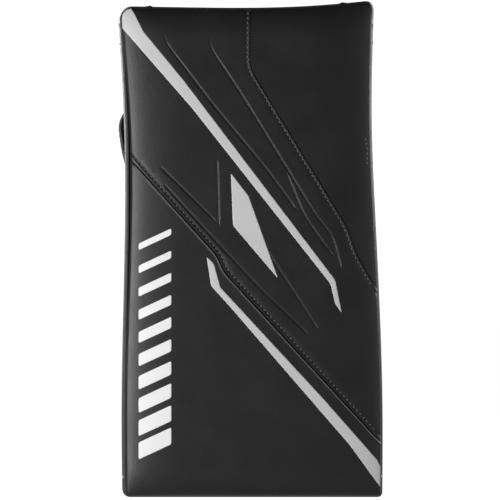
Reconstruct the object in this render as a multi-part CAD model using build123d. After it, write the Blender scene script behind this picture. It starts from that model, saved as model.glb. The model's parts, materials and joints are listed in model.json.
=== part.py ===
from build123d import *
import math
import os

# A goalie blocker for the right hand: a padded board with a glove, guards and a cuff on its back.
# It is drawn in millimetres with the fingers up. X runs across the board, Y from its face to its
# back, and Z up from its bottom edge. Each node is saved about ORIGIN, the middle of the cuff's mouth.

# Board: an outline of four edges, given as (height, distance from the middle) for the long sides.
BOARD_TOP = 381.5
BOARD_DEPTH = 38.0
LEFT_SIDE = [(0.0, -99.5), (60.0, -100.0), (215.0, -97.4), (295.0, -98.2), (381.5, -103.2)]
RIGHT_SIDE = [(0.0, 101.5), (60.0, 101.7), (215.0, 96.2), (295.0, 93.2), (386.0, 95.0)]
TOP_EDGE = [(-50.0, 380.6), (50.0, 382.0)]
CORNER_RADIUS = 6.0
CROWN_WIDTH = 26.0
CROWN_DROP = 6.5
SKIN = 1.5
OVERLAY = 0.8
PIPING_WIDTH = 3.0
PIPING_PROUD = 0.8
STIFFENER = 3.0
WRAP = 1.0
WRAP_REACH = 26.0
FAR = 300.0

# Seams and trims of the face, as (across, up).
UPPER_SEAM = [(0.4, 400.0), (-0.3, 334.0), (76.2, 208.8), (82.0, 190.0), (125.0, 117.0)]
LOWER_SEAM = [(-125.0, 298.0), (-25.2, 187.3), (-21.7, 174.7), (125.0, 14.6)]
UPPER_STRIPE = [
    (-110.0, 395.0), (-77.5, 354.8), (-52.0, 326.0), (65.5, 168.5), (70.6, 143.0),
    (65.5, 150.0), (61.8, 165.7), (-46.0, 302.5), (-110.0, 376.0),
]
LOWER_STRIPE = [
    (-34.6, 186.9), (-29.0, 181.3), (-24.0, 163.0), (120.0, 2.0),
    (106.0, 0.0), (77.0, 40.0), (-16.0, 147.5), (-31.0, 164.0),
]
DART = [(-15.7, 251.7), (-2.0, 234.0), (21.0, 169.8), (-14.0, 211.0)]
BAR_COUNT = 10
BAR_LEFT, BAR_RIGHT = -87.5, -62.0
BAR_BOTTOM, BAR_TOP = 29.0, 210.0
BAR_SLANT = 25.0
BAR_FILL_LOW, BAR_FILL_HIGH = 0.78, 0.30

# Hand: four finger stalls side by side, and the pocket behind the board that they rise from.
HAND_X = -10.0
FINGER_PITCH = 24.0
FINGER_RADIUS = 11.6
FINGER_TIP_RADIUS = 10.4
FINGER_BORE = 8.6
FINGER_LENGTHS = {"index": (44.0, 38.0), "middle": (48.0, 42.0), "ring": (45.0, 39.0), "little": (38.0, 32.0)}
KNUCKLE_Y, KNUCKLE_Z = 76.0, 290.0
BASE_TILT = 30.0
TIP_TILT = 90.0
KNUCKLE_GAP = 0.8
MITRE = 63.0
POCKET_LEFT, POCKET_RIGHT = -58.0, 38.0
POCKET_BACK = 94.5
POCKET_CORNER = 13.5
PALM_THICKNESS = 2.5
PALM_BOTTOM, PALM_TOP = 192.0, 274.0
PATCH_THICKNESS = 1.2
PATCH_SIDES, PATCH_HEIGHTS = (-42.0, 24.0), (200.0, 268.0)
HAND_PAD = 18.0
HAND_PAD_HEIGHTS, HAND_PAD_ROUNDING = (196.0, 277.0), 5.0
ROLL_BACK, ROLL_OVERHANG = 62.0, 1.0
ROLL_HEIGHTS, ROLL_ROUNDING = (278.0, 318.0), 9.0

# Thumb: one stall beside the palm with a guard on its outer side.
THUMB_X, THUMB_Y, THUMB_Z = -74.5, 80.0, 216.0
THUMB_TILT = 25.5
THUMB_RADIUS, THUMB_TIP_RADIUS, THUMB_BORE = 13.0, 12.0, 10.2
THUMB_LENGTH = 62.0
THUMB_GAP = 0.3
THUMB_FOAM, THUMB_SHELL = 6.0, 2.5
THUMB_PORT, THUMB_PORT_LENGTH = 9.0, 30.0
THUMB_INNER_SIDE = 12.5
THUMB_GUARD_OVERLAP = 2.0
THUMB_GUARD_START = 9.0

# Index guard: a stiff shell lined with foam, standing on the back of the board at its left edge.
GUARD_SIDE = [(-92.0, 238.0), (-104.0, 282.0), (-103.0, 297.0), (-95.5, 303.5), (-94.0, 342.0)]
GUARD_INNER_X = -84.0
GUARD_SHELL = 3.5
GUARD_PROFILE = [(38.0, 238.0), (60.0, 238.0), (88.0, 292.0), (88.0, 326.0), (74.0, 342.0), (38.0, 342.0)]
GUARD_PLATE = 2.0
GUARD_PLATE_RIGHT = -66.0
RIVET_HEIGHTS = [252.0, 280.0, 308.0, 334.0]
RIVET_X = -73.0
RIVET_RADIUS, RIVET_HEAD, RIVET_HEAD_HEIGHT = 1.6, 4.2, 1.5

# Cuff: two wings and a pad around the wrist, closed by a flap and a hook-and-loop strap.
CUFF_BOTTOM, CUFF_TOP = 60.0, 188.0
WING_LEFT, WING_RIGHT = (-65.0, -56.0), (36.0, 45.0)
WING_BACK = 95.0
WING_ROUNDING = 3.0
BACK_PAD, BACK_PAD_ROUNDING, BACK_PAD_GAP = 14.0, 4.0, 0.5
FLAP_X, FLAP_Y = 41.0, 99.5
FLAP_LEFT = -58.0
FLAP_THICKNESS = 7.0
FLAP_BOTTOM, FLAP_TOP = 74.0, 176.0
FLAP_PAD, FLAP_PAD_SIDES, FLAP_PAD_MARGIN = 4.0, (-52.0, 30.0), 5.0
STRAP_BOTTOM, STRAP_TOP = 108.0, 146.0
STRAP_THICKNESS = 2.5
STRAP_GAP = 0.3
STRAP_RIGHT = 34.0
PEEL_X, PEEL_GAP = -40.5, 1.0
TAIL_OUTER_X = -71.5
TAIL_END_Y = 52.0
LOOP_THICKNESS = 2.0
LOOP_MARGIN = 4.0
HOOK_THICKNESS = 1.7
HOOK_MARGIN = 2.0
TAB_LENGTH = 10.0
TAB_PROUD, TAB_OVERHANG = 0.5, 1.0

ORIGIN = Vector(HAND_X, 72.0, CUFF_BOTTOM)


def at_depth(face, depth):
    """A face drawn across and up, set at a depth behind the board's front."""
    return Plane.XZ.offset(-depth) * face


def slab(face, front, back):
    """A face drawn across and up, as a solid between two depths."""
    return extrude(at_depth(face, back), amount=back - front)


def area(points):
    """A flat face with these corners."""
    return make_face(Polyline(*points, close=True))


def block(across, depth, height):
    """A box between two limits on each axis."""
    low = Vector(across[0], depth[0], height[0])
    size = Vector(across[1], depth[1], height[1]) - low
    return Pos(low) * Box(size.X, size.Y, size.Z, align=(Align.MIN, Align.MIN, Align.MIN))


def soft_block(across, depth, height, radius):
    """A box with every edge rounded, as a pad's are."""
    pad = block(across, depth, height)
    return fillet(pad.edges(), radius)


def rod(base, tip_radius, base_radius, length):
    """A straight or tapering rod that stands on a plane."""
    upward = (Align.CENTER, Align.CENTER, Align.MIN)
    if tip_radius == base_radius:
        return base * Cylinder(base_radius, length, align=upward)
    return base * Cone(base_radius, tip_radius, length, align=upward)


def board_outline(inset):
    """The board's outline, drawn in by inset on every side."""
    left = [(x + inset, max(z, inset)) for z, x in LEFT_SIDE[:-1]]
    left.append((LEFT_SIDE[-1][1] + inset, LEFT_SIDE[-1][0] - inset))
    right = [(x - inset, max(z, inset)) for z, x in RIGHT_SIDE[:-1]]
    right.append((RIGHT_SIDE[-1][1] - inset, RIGHT_SIDE[-1][0] - inset))
    top = [left[-1]] + [(x, z - inset) for x, z in TOP_EDGE] + [right[-1]]
    edges = Spline(*left) + Spline(*top) + Spline(*reversed(right)) + Line(right[0], left[0])
    face = make_face(edges)
    return fillet(face.vertices(), max(CORNER_RADIUS - inset, 2.0))


def padded_block(inset, front, back):
    """The board's outline as a solid whose front slopes back all round, as a padded face does."""
    rim = front + CROWN_DROP
    face = at_depth(board_outline(inset + CROWN_WIDTH), front)
    return loft([at_depth(board_outline(inset), rim), face]) + slab(board_outline(inset), rim, back)


def ring(outer, inner, front, back):
    """A band that follows the board's outline between two insets and two depths."""
    return slab(board_outline(outer), front, back) - slab(board_outline(inner), front - 1, back + 1)


def board_nodes():
    """The core, the stiff sheet, the skins and the trims of the board."""
    inside = SKIN + 0.1
    stiffener_front = BOARD_DEPTH - SKIN - STIFFENER
    cover = padded_block(0.0, 0.0, BOARD_DEPTH) - padded_block(SKIN, SKIN, BOARD_DEPTH + 1)
    piping_front = CROWN_DROP
    piping_back = piping_front + PIPING_WIDTH
    face = cover & block((-FAR, FAR), (-5, piping_front), (-50, FAR + 200))
    sides = cover & block((-FAR, FAR), (piping_back, BOARD_DEPTH), (-50, FAR + 200))
    upper = slab(area(UPPER_SEAM + [(125.0, 400.0)]), -5, 20)
    lower = slab(area(LOWER_SEAM + [(125.0, -20.0), (-125.0, -20.0)]), -5, 20)
    holes = [rivet_shank(height) for height in RIVET_HEIGHTS]
    stiffener = slab(board_outline(inside), stiffener_front, stiffener_front + STIFFENER)
    liner = slab(board_outline(inside), BOARD_DEPTH - SKIN, BOARD_DEPTH)
    ends = (12.0, BOARD_TOP - 14.0)
    nodes = {
        "foam_core": padded_block(inside, SKIN, stiffener_front),
        "stiffener_sheet": stiffener - holes,
        "back_liner": liner - holes,
        "edge_piping": ring(-PIPING_PROUD, SKIN, piping_front, piping_back),
        "face_panel_upper": face & upper,
        "face_panel_lower": face & lower,
        "face_panel_center": face - upper - lower,
        "gusset_top": sides & block((-FAR, FAR), (0, 60), (ends[1], FAR + 200)),
        "gusset_bottom": sides & block((-FAR, FAR), (0, 60), (-50, ends[0])),
        "gusset_left": sides & block((-FAR, 0), (0, 60), ends),
        "gusset_right": sides & block((0, FAR), (0, 60), ends),
    }
    wraps = ring(-WRAP, 0.0, piping_back, BOARD_DEPTH - 3)
    wrap_heights = (BOARD_TOP - 34.0, FAR + 200)
    left_limit = LEFT_SIDE[-1][1] + WRAP_REACH
    right_limit = RIGHT_SIDE[-1][1] - WRAP_REACH
    nodes["corner_wrap_left"] = wraps & block((-FAR, left_limit), (0, 60), wrap_heights)
    nodes["corner_wrap_right"] = wraps & block((right_limit, FAR), (0, 60), wrap_heights)
    return nodes


def trim_nodes():
    """The overlays on the face: two long stripes, a dart and a column of slanted bars."""
    layer = padded_block(-0.05, -OVERLAY, 12.0) - padded_block(0.0, 0.0, 13.0)
    layer = layer & block((-FAR, FAR), (-5, CROWN_DROP), (-50, FAR + 200))
    pitch = (BAR_TOP - BAR_BOTTOM) / BAR_COUNT
    slope = (BAR_RIGHT - BAR_LEFT) * math.tan(math.radians(BAR_SLANT))
    bars = []
    for i in range(BAR_COUNT):
        fill = BAR_FILL_LOW + (BAR_FILL_HIGH - BAR_FILL_LOW) * i / (BAR_COUNT - 1)
        low = BAR_BOTTOM + i * pitch
        high = low + fill * (pitch - slope / BAR_COUNT)
        corners = [(BAR_LEFT, low), (BAR_RIGHT, low + slope), (BAR_RIGHT, high + slope), (BAR_LEFT, high)]
        bars.append(layer & slab(area(corners), -5, 20))
    return {
        "stripe_upper": layer & slab(area(UPPER_STRIPE), -5, 20),
        "stripe_lower": layer & slab(area(LOWER_STRIPE), -5, 20),
        "center_dart": layer & slab(area(DART), -5, 20),
        "speed_bars": Compound([solid for bar in bars for solid in bar.solids()]),
    }


def finger_plane(x, y, z, tilt):
    """A plane whose Z runs along a finger and whose Y points to the finger's palm side."""
    lean = math.radians(tilt)
    return Plane(origin=(x, y, z), x_dir=(1, 0, 0), z_dir=(0, math.sin(lean), math.cos(lean)))


def finger_nodes(name, x, base_length, tip_length):
    """One finger's stall in two hollow pieces, which turn about the knuckle and the middle joint."""
    root = finger_plane(x, KNUCKLE_Y, KNUCKLE_Z, BASE_TILT)
    middle = root.origin + root.z_dir * base_length
    bend = Plane(origin=middle, x_dir=(1, 0, 0), z_dir=root.z_dir)
    onward = finger_plane(x, middle.Y, middle.Z, TIP_TILT)

    base = root * Sphere(FINGER_RADIUS) + rod(root, FINGER_RADIUS, FINGER_RADIUS, base_length)
    base -= rod(root * Pos(0, 0, -FINGER_RADIUS), FINGER_BORE, FINGER_BORE, base_length + 2 * FINGER_RADIUS)
    base -= rod(Pos(x, KNUCKLE_Y, KNUCKLE_Z - 30), FINGER_BORE, FINGER_BORE, 30)
    base -= bend * Rot(X=-MITRE) * Pos(0, 0, 30) * Box(60, 90, 60)
    base -= bend * Sphere(FINGER_RADIUS + KNUCKLE_GAP)

    tip = onward * Sphere(FINGER_RADIUS) + rod(onward, FINGER_TIP_RADIUS, FINGER_RADIUS, tip_length)
    tip += onward * Pos(0, 0, tip_length) * Sphere(FINGER_TIP_RADIUS)
    tip -= rod(onward * Pos(0, 0, -FINGER_RADIUS), FINGER_BORE, FINGER_BORE, tip_length + FINGER_RADIUS)
    tip -= onward * Pos(0, 0, tip_length) * Sphere(FINGER_BORE)
    tip -= rod(bend * Pos(0, 0, -30), FINGER_BORE, FINGER_BORE, 30)
    return {name + "_finger_base": base, name + "_finger_tip": tip}


def capsule(plane, radius, length):
    """A rod with a round end."""
    return rod(plane, radius, radius, length) + plane * Pos(0, 0, length) * Sphere(radius)


def thumb_nodes():
    """The thumb's hollow stall, and the foam and shell that guard its outer side."""
    plane = finger_plane(THUMB_X, THUMB_Y, THUMB_Z, THUMB_TILT)
    end = plane * Pos(0, 0, THUMB_LENGTH)
    stall = plane * Sphere(THUMB_RADIUS) + rod(plane, THUMB_TIP_RADIUS, THUMB_RADIUS, THUMB_LENGTH)
    stall += end * Sphere(THUMB_TIP_RADIUS)
    stall -= rod(plane, THUMB_BORE, THUMB_BORE, THUMB_LENGTH) + plane * Sphere(THUMB_BORE)
    stall -= end * Sphere(THUMB_BORE)
    stall -= rod(Plane(origin=plane.origin, z_dir=(1, 0, 0)), THUMB_PORT, THUMB_PORT, THUMB_PORT_LENGTH)

    inner = THUMB_RADIUS + THUMB_GAP
    middle = inner + THUMB_FOAM
    outer = middle + THUMB_SHELL
    corner = Pos(THUMB_INNER_SIDE, -THUMB_GUARD_OVERLAP, THUMB_GUARD_START)
    beside = plane * corner * Box(FAR, FAR, FAR, align=(Align.MAX, Align.MIN, Align.MIN))
    foam = (capsule(plane, middle, THUMB_LENGTH) - capsule(plane, inner, THUMB_LENGTH)) & beside
    shell = (capsule(plane, outer, THUMB_LENGTH) - capsule(plane, middle, THUMB_LENGTH)) & beside
    return {"thumb_stall": stall, "thumb_guard_foam": foam, "thumb_guard_shell": shell}


def hand_nodes():
    """The fixed part of the glove: the pads over the hand, and the palm that closes round it."""
    thickness = PALM_THICKNESS
    palm_back = POCKET_BACK + thickness
    palm_sides = (POCKET_LEFT - thickness, POCKET_RIGHT + thickness)
    outer = block(palm_sides, (0, palm_back), (PALM_BOTTOM, PALM_TOP))
    outer = fillet(outer.edges().filter_by(Axis.Z).group_by(Axis.Y)[-1], POCKET_CORNER + thickness)
    inner = block((POCKET_LEFT, POCKET_RIGHT), (-1, POCKET_BACK), (PALM_BOTTOM - 1, PALM_TOP + 1))
    inner = fillet(inner.edges().filter_by(Axis.Z).group_by(Axis.Y)[-1], POCKET_CORNER)
    palm = (outer - inner) & block((-FAR, FAR), (BOARD_DEPTH, FAR), (0, FAR))
    port = Plane(origin=(THUMB_X, THUMB_Y, THUMB_Z), z_dir=(1, 0, 0))
    palm -= rod(port, THUMB_PORT, THUMB_PORT, THUMB_PORT_LENGTH)
    pad_sides = (POCKET_LEFT + 1, POCKET_RIGHT - 1)
    roll_sides = (POCKET_LEFT - ROLL_OVERHANG, POCKET_RIGHT + ROLL_OVERHANG)
    pad_depths = (BOARD_DEPTH, BOARD_DEPTH + HAND_PAD)
    return {
        "backhand_pad": soft_block(pad_sides, pad_depths, HAND_PAD_HEIGHTS, HAND_PAD_ROUNDING),
        "knuckle_roll": soft_block(roll_sides, (BOARD_DEPTH, ROLL_BACK), ROLL_HEIGHTS, ROLL_ROUNDING),
        "palm_shell": palm,
        "palm_patch": block(PATCH_SIDES, (palm_back, palm_back + PATCH_THICKNESS), PATCH_HEIGHTS),
    }


def rivet_shank(height):
    """The hole and shank of one rivet through the index guard's plate and the back of the board."""
    back = BOARD_DEPTH + GUARD_PLATE
    front = BOARD_DEPTH - SKIN - STIFFENER
    plane = Plane(origin=(RIVET_X, front, height), z_dir=(0, 1, 0))
    return rod(plane, RIVET_RADIUS, RIVET_RADIUS, back - front)


def index_guard_nodes():
    """The guard beside the index finger, and the rivets that hold its plate to the board."""
    top, bottom = GUARD_SIDE[-1][1], GUARD_SIDE[0][1]
    inner_edge = [(GUARD_INNER_X, top), (GUARD_INNER_X, bottom)]
    profile = extrude(Plane.YZ * area(GUARD_PROFILE), amount=FAR, both=True)
    whole = slab(area(GUARD_SIDE + inner_edge), 30, 95) & profile
    foam_side = [(x + GUARD_SHELL, z) for x, z in GUARD_SIDE]
    plate_back = BOARD_DEPTH + GUARD_PLATE
    foam = slab(area(foam_side + inner_edge), plate_back, 95) & profile
    plate = block((-86, GUARD_PLATE_RIGHT), (BOARD_DEPTH, plate_back), (bottom + 6, top - 2))
    holes = [rivet_shank(height) for height in RIVET_HEIGHTS]
    heads = []
    for height in RIVET_HEIGHTS:
        seat = Plane(origin=(RIVET_X, plate_back, height), z_dir=(0, 1, 0))
        heads.append(rivet_shank(height) + rod(seat, RIVET_HEAD * 0.7, RIVET_HEAD, RIVET_HEAD_HEIGHT))
    return {
        "index_guard_shell": whole - foam + plate - holes,
        "index_guard_foam": foam,
        "guard_rivets": Compound([solid for head in heads for solid in head.solids()]),
    }


def cuff_nodes():
    """The wings and the pad round the wrist, and the loop patch on the outside of the left wing."""
    heights = (CUFF_BOTTOM, CUFF_TOP)
    depths = (BOARD_DEPTH, WING_BACK)
    pad_sides = (WING_LEFT[1] + BACK_PAD_GAP, WING_RIGHT[0] - BACK_PAD_GAP)
    pad_depths = (BOARD_DEPTH, BOARD_DEPTH + BACK_PAD)
    loop_sides = (WING_LEFT[0] - LOOP_THICKNESS, WING_LEFT[0])
    loop_depths = (TAIL_END_Y - LOOP_MARGIN, WING_BACK - LOOP_MARGIN)
    return {
        "cuff_back_pad": soft_block(pad_sides, pad_depths, heights, BACK_PAD_ROUNDING),
        "cuff_wing_left": soft_block(WING_LEFT, depths, heights, WING_ROUNDING),
        "cuff_wing_right": soft_block(WING_RIGHT, depths, heights, WING_ROUNDING),
        "loop_patch": block(loop_sides, loop_depths, (STRAP_BOTTOM, STRAP_TOP)),
    }


def flap_nodes():
    """The flap over the inner wrist, which turns on the right wing and carries the strap."""
    inner_face = FLAP_Y - FLAP_THICKNESS / 2
    outer_face = FLAP_Y + FLAP_THICKNESS / 2
    heights = (FLAP_BOTTOM, FLAP_TOP)
    flap = block((FLAP_LEFT, FLAP_X), (inner_face, outer_face), heights)
    edge_radius = FLAP_THICKNESS / 2
    flap += rod(Pos(FLAP_X, FLAP_Y, FLAP_BOTTOM), edge_radius, edge_radius, FLAP_TOP - FLAP_BOTTOM)
    pad_heights = (FLAP_BOTTOM + FLAP_PAD_MARGIN, FLAP_TOP - FLAP_PAD_MARGIN)
    pad = block(FLAP_PAD_SIDES, (inner_face - FLAP_PAD, inner_face), pad_heights)
    strap_sides = (PEEL_X + PEEL_GAP / 2, STRAP_RIGHT)
    strap = block(strap_sides, (outer_face, outer_face + STRAP_THICKNESS), (STRAP_BOTTOM, STRAP_TOP))
    return {"cuff_flap": flap, "cuff_flap_pad": pad, "strap_base": strap}


def strap_tail_nodes():
    """The loose end of the strap, which bends round the left wing, with its hooks and pull tab."""
    front = FLAP_Y + FLAP_THICKNESS / 2 + STRAP_GAP
    back = front + STRAP_THICKNESS
    heights = (STRAP_BOTTOM, STRAP_TOP)
    inner_x = TAIL_OUTER_X + STRAP_THICKNESS
    tail = block((TAIL_OUTER_X, PEEL_X - PEEL_GAP / 2), (front, back), heights)
    tail += block((TAIL_OUTER_X, inner_x), (TAIL_END_Y, back), heights)
    hook_depths = (TAIL_END_Y + HOOK_MARGIN, WING_BACK - LOOP_MARGIN - HOOK_MARGIN)
    hook_heights = (STRAP_BOTTOM + HOOK_MARGIN, STRAP_TOP - HOOK_MARGIN)
    hooks = block((inner_x, inner_x + HOOK_THICKNESS), hook_depths, hook_heights)
    tab_sides = (TAIL_OUTER_X - TAB_PROUD, inner_x + TAB_PROUD)
    tab_heights = (STRAP_BOTTOM - TAB_OVERHANG, STRAP_TOP + TAB_OVERHANG)
    tab = block(tab_sides, (TAIL_END_Y - TAB_LENGTH, TAIL_END_Y), tab_heights)
    return {"strap_tail": tail, "hook_patch": hooks, "pull_tab": tab}


def all_nodes():
    """Every node of the blocker by name."""
    nodes = {**board_nodes(), **trim_nodes(), **hand_nodes(), **index_guard_nodes()}
    nodes.update({**thumb_nodes(), **cuff_nodes(), **flap_nodes(), **strap_tail_nodes()})
    for i, (name, lengths) in enumerate(FINGER_LENGTHS.items()):
        x = HAND_X + (i - (len(FINGER_LENGTHS) - 1) / 2) * FINGER_PITCH
        nodes.update(finger_nodes(name, x, *lengths))
    return nodes


os.makedirs("parts", exist_ok=True)
for node_name, node in all_nodes().items():
    export_step(Pos(-ORIGIN) * node, f"parts/{node_name}.step")
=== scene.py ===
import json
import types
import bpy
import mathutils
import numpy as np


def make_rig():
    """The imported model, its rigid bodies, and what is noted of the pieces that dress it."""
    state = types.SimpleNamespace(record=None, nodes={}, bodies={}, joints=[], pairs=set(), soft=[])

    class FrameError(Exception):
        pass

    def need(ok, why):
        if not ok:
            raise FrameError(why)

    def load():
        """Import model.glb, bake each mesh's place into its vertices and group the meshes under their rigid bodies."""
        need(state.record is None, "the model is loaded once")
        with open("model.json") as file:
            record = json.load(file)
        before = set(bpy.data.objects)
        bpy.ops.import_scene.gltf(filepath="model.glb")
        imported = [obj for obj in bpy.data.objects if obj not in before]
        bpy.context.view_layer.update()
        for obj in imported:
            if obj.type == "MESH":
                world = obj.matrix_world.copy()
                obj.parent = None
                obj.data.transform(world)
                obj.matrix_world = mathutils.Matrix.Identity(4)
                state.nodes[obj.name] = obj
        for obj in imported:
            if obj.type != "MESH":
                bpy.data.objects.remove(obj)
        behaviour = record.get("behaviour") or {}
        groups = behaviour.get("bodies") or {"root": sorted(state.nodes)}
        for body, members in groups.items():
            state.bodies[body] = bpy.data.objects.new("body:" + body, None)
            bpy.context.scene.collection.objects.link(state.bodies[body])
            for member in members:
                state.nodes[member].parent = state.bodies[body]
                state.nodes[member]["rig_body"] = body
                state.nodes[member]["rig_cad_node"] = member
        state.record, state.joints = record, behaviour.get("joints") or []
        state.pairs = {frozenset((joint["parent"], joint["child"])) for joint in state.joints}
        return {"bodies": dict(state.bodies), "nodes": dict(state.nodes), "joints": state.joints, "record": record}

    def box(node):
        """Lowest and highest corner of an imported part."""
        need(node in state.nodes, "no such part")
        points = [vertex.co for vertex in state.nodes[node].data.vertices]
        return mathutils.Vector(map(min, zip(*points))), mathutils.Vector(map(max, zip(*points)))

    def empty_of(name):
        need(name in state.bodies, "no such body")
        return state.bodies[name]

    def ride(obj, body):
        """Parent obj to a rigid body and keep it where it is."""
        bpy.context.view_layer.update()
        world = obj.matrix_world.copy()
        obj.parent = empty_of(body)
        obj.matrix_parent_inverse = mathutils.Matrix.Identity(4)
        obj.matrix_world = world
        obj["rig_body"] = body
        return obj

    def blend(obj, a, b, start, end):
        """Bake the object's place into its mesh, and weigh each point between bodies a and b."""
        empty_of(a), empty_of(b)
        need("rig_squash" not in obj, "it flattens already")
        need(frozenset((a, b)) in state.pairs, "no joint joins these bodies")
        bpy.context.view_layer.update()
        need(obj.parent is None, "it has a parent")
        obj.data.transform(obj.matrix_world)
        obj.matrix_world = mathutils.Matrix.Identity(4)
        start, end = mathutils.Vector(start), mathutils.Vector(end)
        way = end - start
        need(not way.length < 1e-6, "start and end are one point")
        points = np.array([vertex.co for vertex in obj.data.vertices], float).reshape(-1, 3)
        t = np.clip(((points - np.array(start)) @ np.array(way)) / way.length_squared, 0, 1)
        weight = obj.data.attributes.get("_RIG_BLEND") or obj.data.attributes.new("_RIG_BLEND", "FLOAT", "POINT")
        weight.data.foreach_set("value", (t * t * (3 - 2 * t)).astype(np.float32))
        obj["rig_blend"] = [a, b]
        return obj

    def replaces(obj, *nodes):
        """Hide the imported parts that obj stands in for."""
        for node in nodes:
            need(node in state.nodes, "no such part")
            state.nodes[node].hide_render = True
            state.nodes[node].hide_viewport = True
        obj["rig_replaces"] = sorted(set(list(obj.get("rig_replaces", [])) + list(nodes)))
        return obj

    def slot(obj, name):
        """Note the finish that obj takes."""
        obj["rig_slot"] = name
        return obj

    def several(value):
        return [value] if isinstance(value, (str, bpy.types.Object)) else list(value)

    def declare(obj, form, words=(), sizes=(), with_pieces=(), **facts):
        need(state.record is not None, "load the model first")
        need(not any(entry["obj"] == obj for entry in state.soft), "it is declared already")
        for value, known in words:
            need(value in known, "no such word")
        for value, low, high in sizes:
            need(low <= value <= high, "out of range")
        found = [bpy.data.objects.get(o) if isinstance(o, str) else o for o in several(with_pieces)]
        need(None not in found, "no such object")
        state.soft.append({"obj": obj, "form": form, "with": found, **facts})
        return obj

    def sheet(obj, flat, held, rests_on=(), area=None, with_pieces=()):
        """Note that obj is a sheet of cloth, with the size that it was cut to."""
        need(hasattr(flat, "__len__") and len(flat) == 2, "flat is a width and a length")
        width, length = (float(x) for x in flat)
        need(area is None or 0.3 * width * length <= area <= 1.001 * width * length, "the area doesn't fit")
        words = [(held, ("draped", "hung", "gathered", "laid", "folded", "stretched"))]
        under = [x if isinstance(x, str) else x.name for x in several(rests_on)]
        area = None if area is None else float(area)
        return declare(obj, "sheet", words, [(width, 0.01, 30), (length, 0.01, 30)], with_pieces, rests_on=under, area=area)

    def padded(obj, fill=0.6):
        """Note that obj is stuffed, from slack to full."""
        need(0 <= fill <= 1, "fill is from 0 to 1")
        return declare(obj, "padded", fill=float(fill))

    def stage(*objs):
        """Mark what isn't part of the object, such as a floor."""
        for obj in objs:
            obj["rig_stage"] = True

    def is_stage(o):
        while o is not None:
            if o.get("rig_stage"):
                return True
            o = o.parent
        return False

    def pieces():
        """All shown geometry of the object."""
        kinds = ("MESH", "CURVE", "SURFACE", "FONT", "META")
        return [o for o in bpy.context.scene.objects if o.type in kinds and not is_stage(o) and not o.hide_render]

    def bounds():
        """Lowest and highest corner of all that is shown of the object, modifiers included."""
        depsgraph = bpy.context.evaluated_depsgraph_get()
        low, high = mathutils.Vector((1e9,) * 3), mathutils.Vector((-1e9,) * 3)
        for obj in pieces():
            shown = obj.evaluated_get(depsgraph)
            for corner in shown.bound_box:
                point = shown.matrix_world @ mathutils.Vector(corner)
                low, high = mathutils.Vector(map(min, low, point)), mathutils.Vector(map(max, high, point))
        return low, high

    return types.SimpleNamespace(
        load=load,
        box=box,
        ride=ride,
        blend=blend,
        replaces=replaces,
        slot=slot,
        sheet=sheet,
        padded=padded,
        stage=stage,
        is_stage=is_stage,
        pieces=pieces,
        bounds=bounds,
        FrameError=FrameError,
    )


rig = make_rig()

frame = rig.load()

import json
import math

import bmesh
import bpy
import numpy as np
from mathutils import Vector
from mathutils.geometry import delaunay_2d_cdt

cad_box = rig.bounds()

# Everything below is worked out in the board's own frame, in millimetres: X across from the board's
# middle line, Y back from its face, Z up from its bottom edge. to_row() carries it to the row frame.
MM = 0.001
LEFT_SIDE = [(0.0, -99.5), (60.0, -100.0), (215.0, -97.4), (295.0, -98.2), (381.5, -103.2)]
RIGHT_SIDE = [(0.0, 101.5), (60.0, 101.7), (215.0, 96.2), (295.0, 93.2), (386.0, 95.0)]
TOP_EDGE = [(-103.2, 381.5), (-50.0, 380.6), (50.0, 382.0), (95.0, 386.0)]
# Radii of the corners: top left, top right, bottom right and bottom left.
CORNER_RADII = (9.5, 5.0, 2.5, 5.0)
CROWN_SIDE = 44.0
CROWN_END = 24.0
CROWN_DROP = 6.5
# How much of the bound edge shows beside the face on its left, at heights up the board.
LEFT_REVEAL = [
    (0.0, 1.2), (60.0, 1.3), (107.0, 1.4), (153.0, 2.0), (210.0, 2.5), (280.0, 2.5), (340.0, 1.4),
    (381.5, 1.0),
]
BOARD_DEPTH = 38.0

# The palm's patch is a flat plate, so its lowest corner fixes where the board's frame lies in the row's.
PATCH_CORNER = (-42.0, 97.0, 200.0)
BOARD_ORIGIN = np.array(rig.box("palm_patch")[0]) - np.array(PATCH_CORNER) * MM


def to_row(points):
    """Points of the board's frame, in millimetres, as metres in the row frame."""
    return BOARD_ORIGIN + np.asarray(points, float) * MM


# ---------------------------------------------------------------- materials


def new_material(name, roughness, specular=0.5, metallic=0.0):
    """An empty Principled material and its shader."""
    material = bpy.data.materials.new(name)
    material.use_nodes = True
    shader = material.node_tree.nodes["Principled BSDF"]
    shader.inputs["Roughness"].default_value = roughness
    shader.inputs["Specular IOR Level"].default_value = specular
    shader.inputs["Metallic"].default_value = metallic
    return material, shader


def texture(tree, kind, scale, **settings):
    """A texture node read at the piece's own place, so that it stays put when the piece moves."""
    node = tree.nodes.new(kind)
    where = tree.nodes.get("Texture Coordinate") or tree.nodes.new("ShaderNodeTexCoord")
    tree.links.new(where.outputs["Object"], node.inputs["Vector"])
    node.inputs["Scale"].default_value = scale
    for key, value in settings.items():
        if key in node.inputs:
            node.inputs[key].default_value = value
        else:
            setattr(node, key, value)
    return node


def ranged(tree, value, low, high):
    """A 0 to 1 value carried to the range from low to high."""
    node = tree.nodes.new("ShaderNodeMapRange")
    node.inputs["To Min"].default_value = low
    node.inputs["To Max"].default_value = high
    tree.links.new(value, node.inputs["Value"])
    return node.outputs["Result"]


def mixed_colour(tree, factor, dark, light):
    """A colour between two, chosen by a 0 to 1 value. Each is a colour, or one number for a grey."""
    node = tree.nodes.new("ShaderNodeMix")
    node.data_type = "RGBA"
    node.inputs["A"].default_value = (*np.broadcast_to(dark, 3), 1)
    node.inputs["B"].default_value = (*np.broadcast_to(light, 3), 1)
    tree.links.new(factor, node.inputs["Factor"])
    return node.outputs["Result"]


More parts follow.
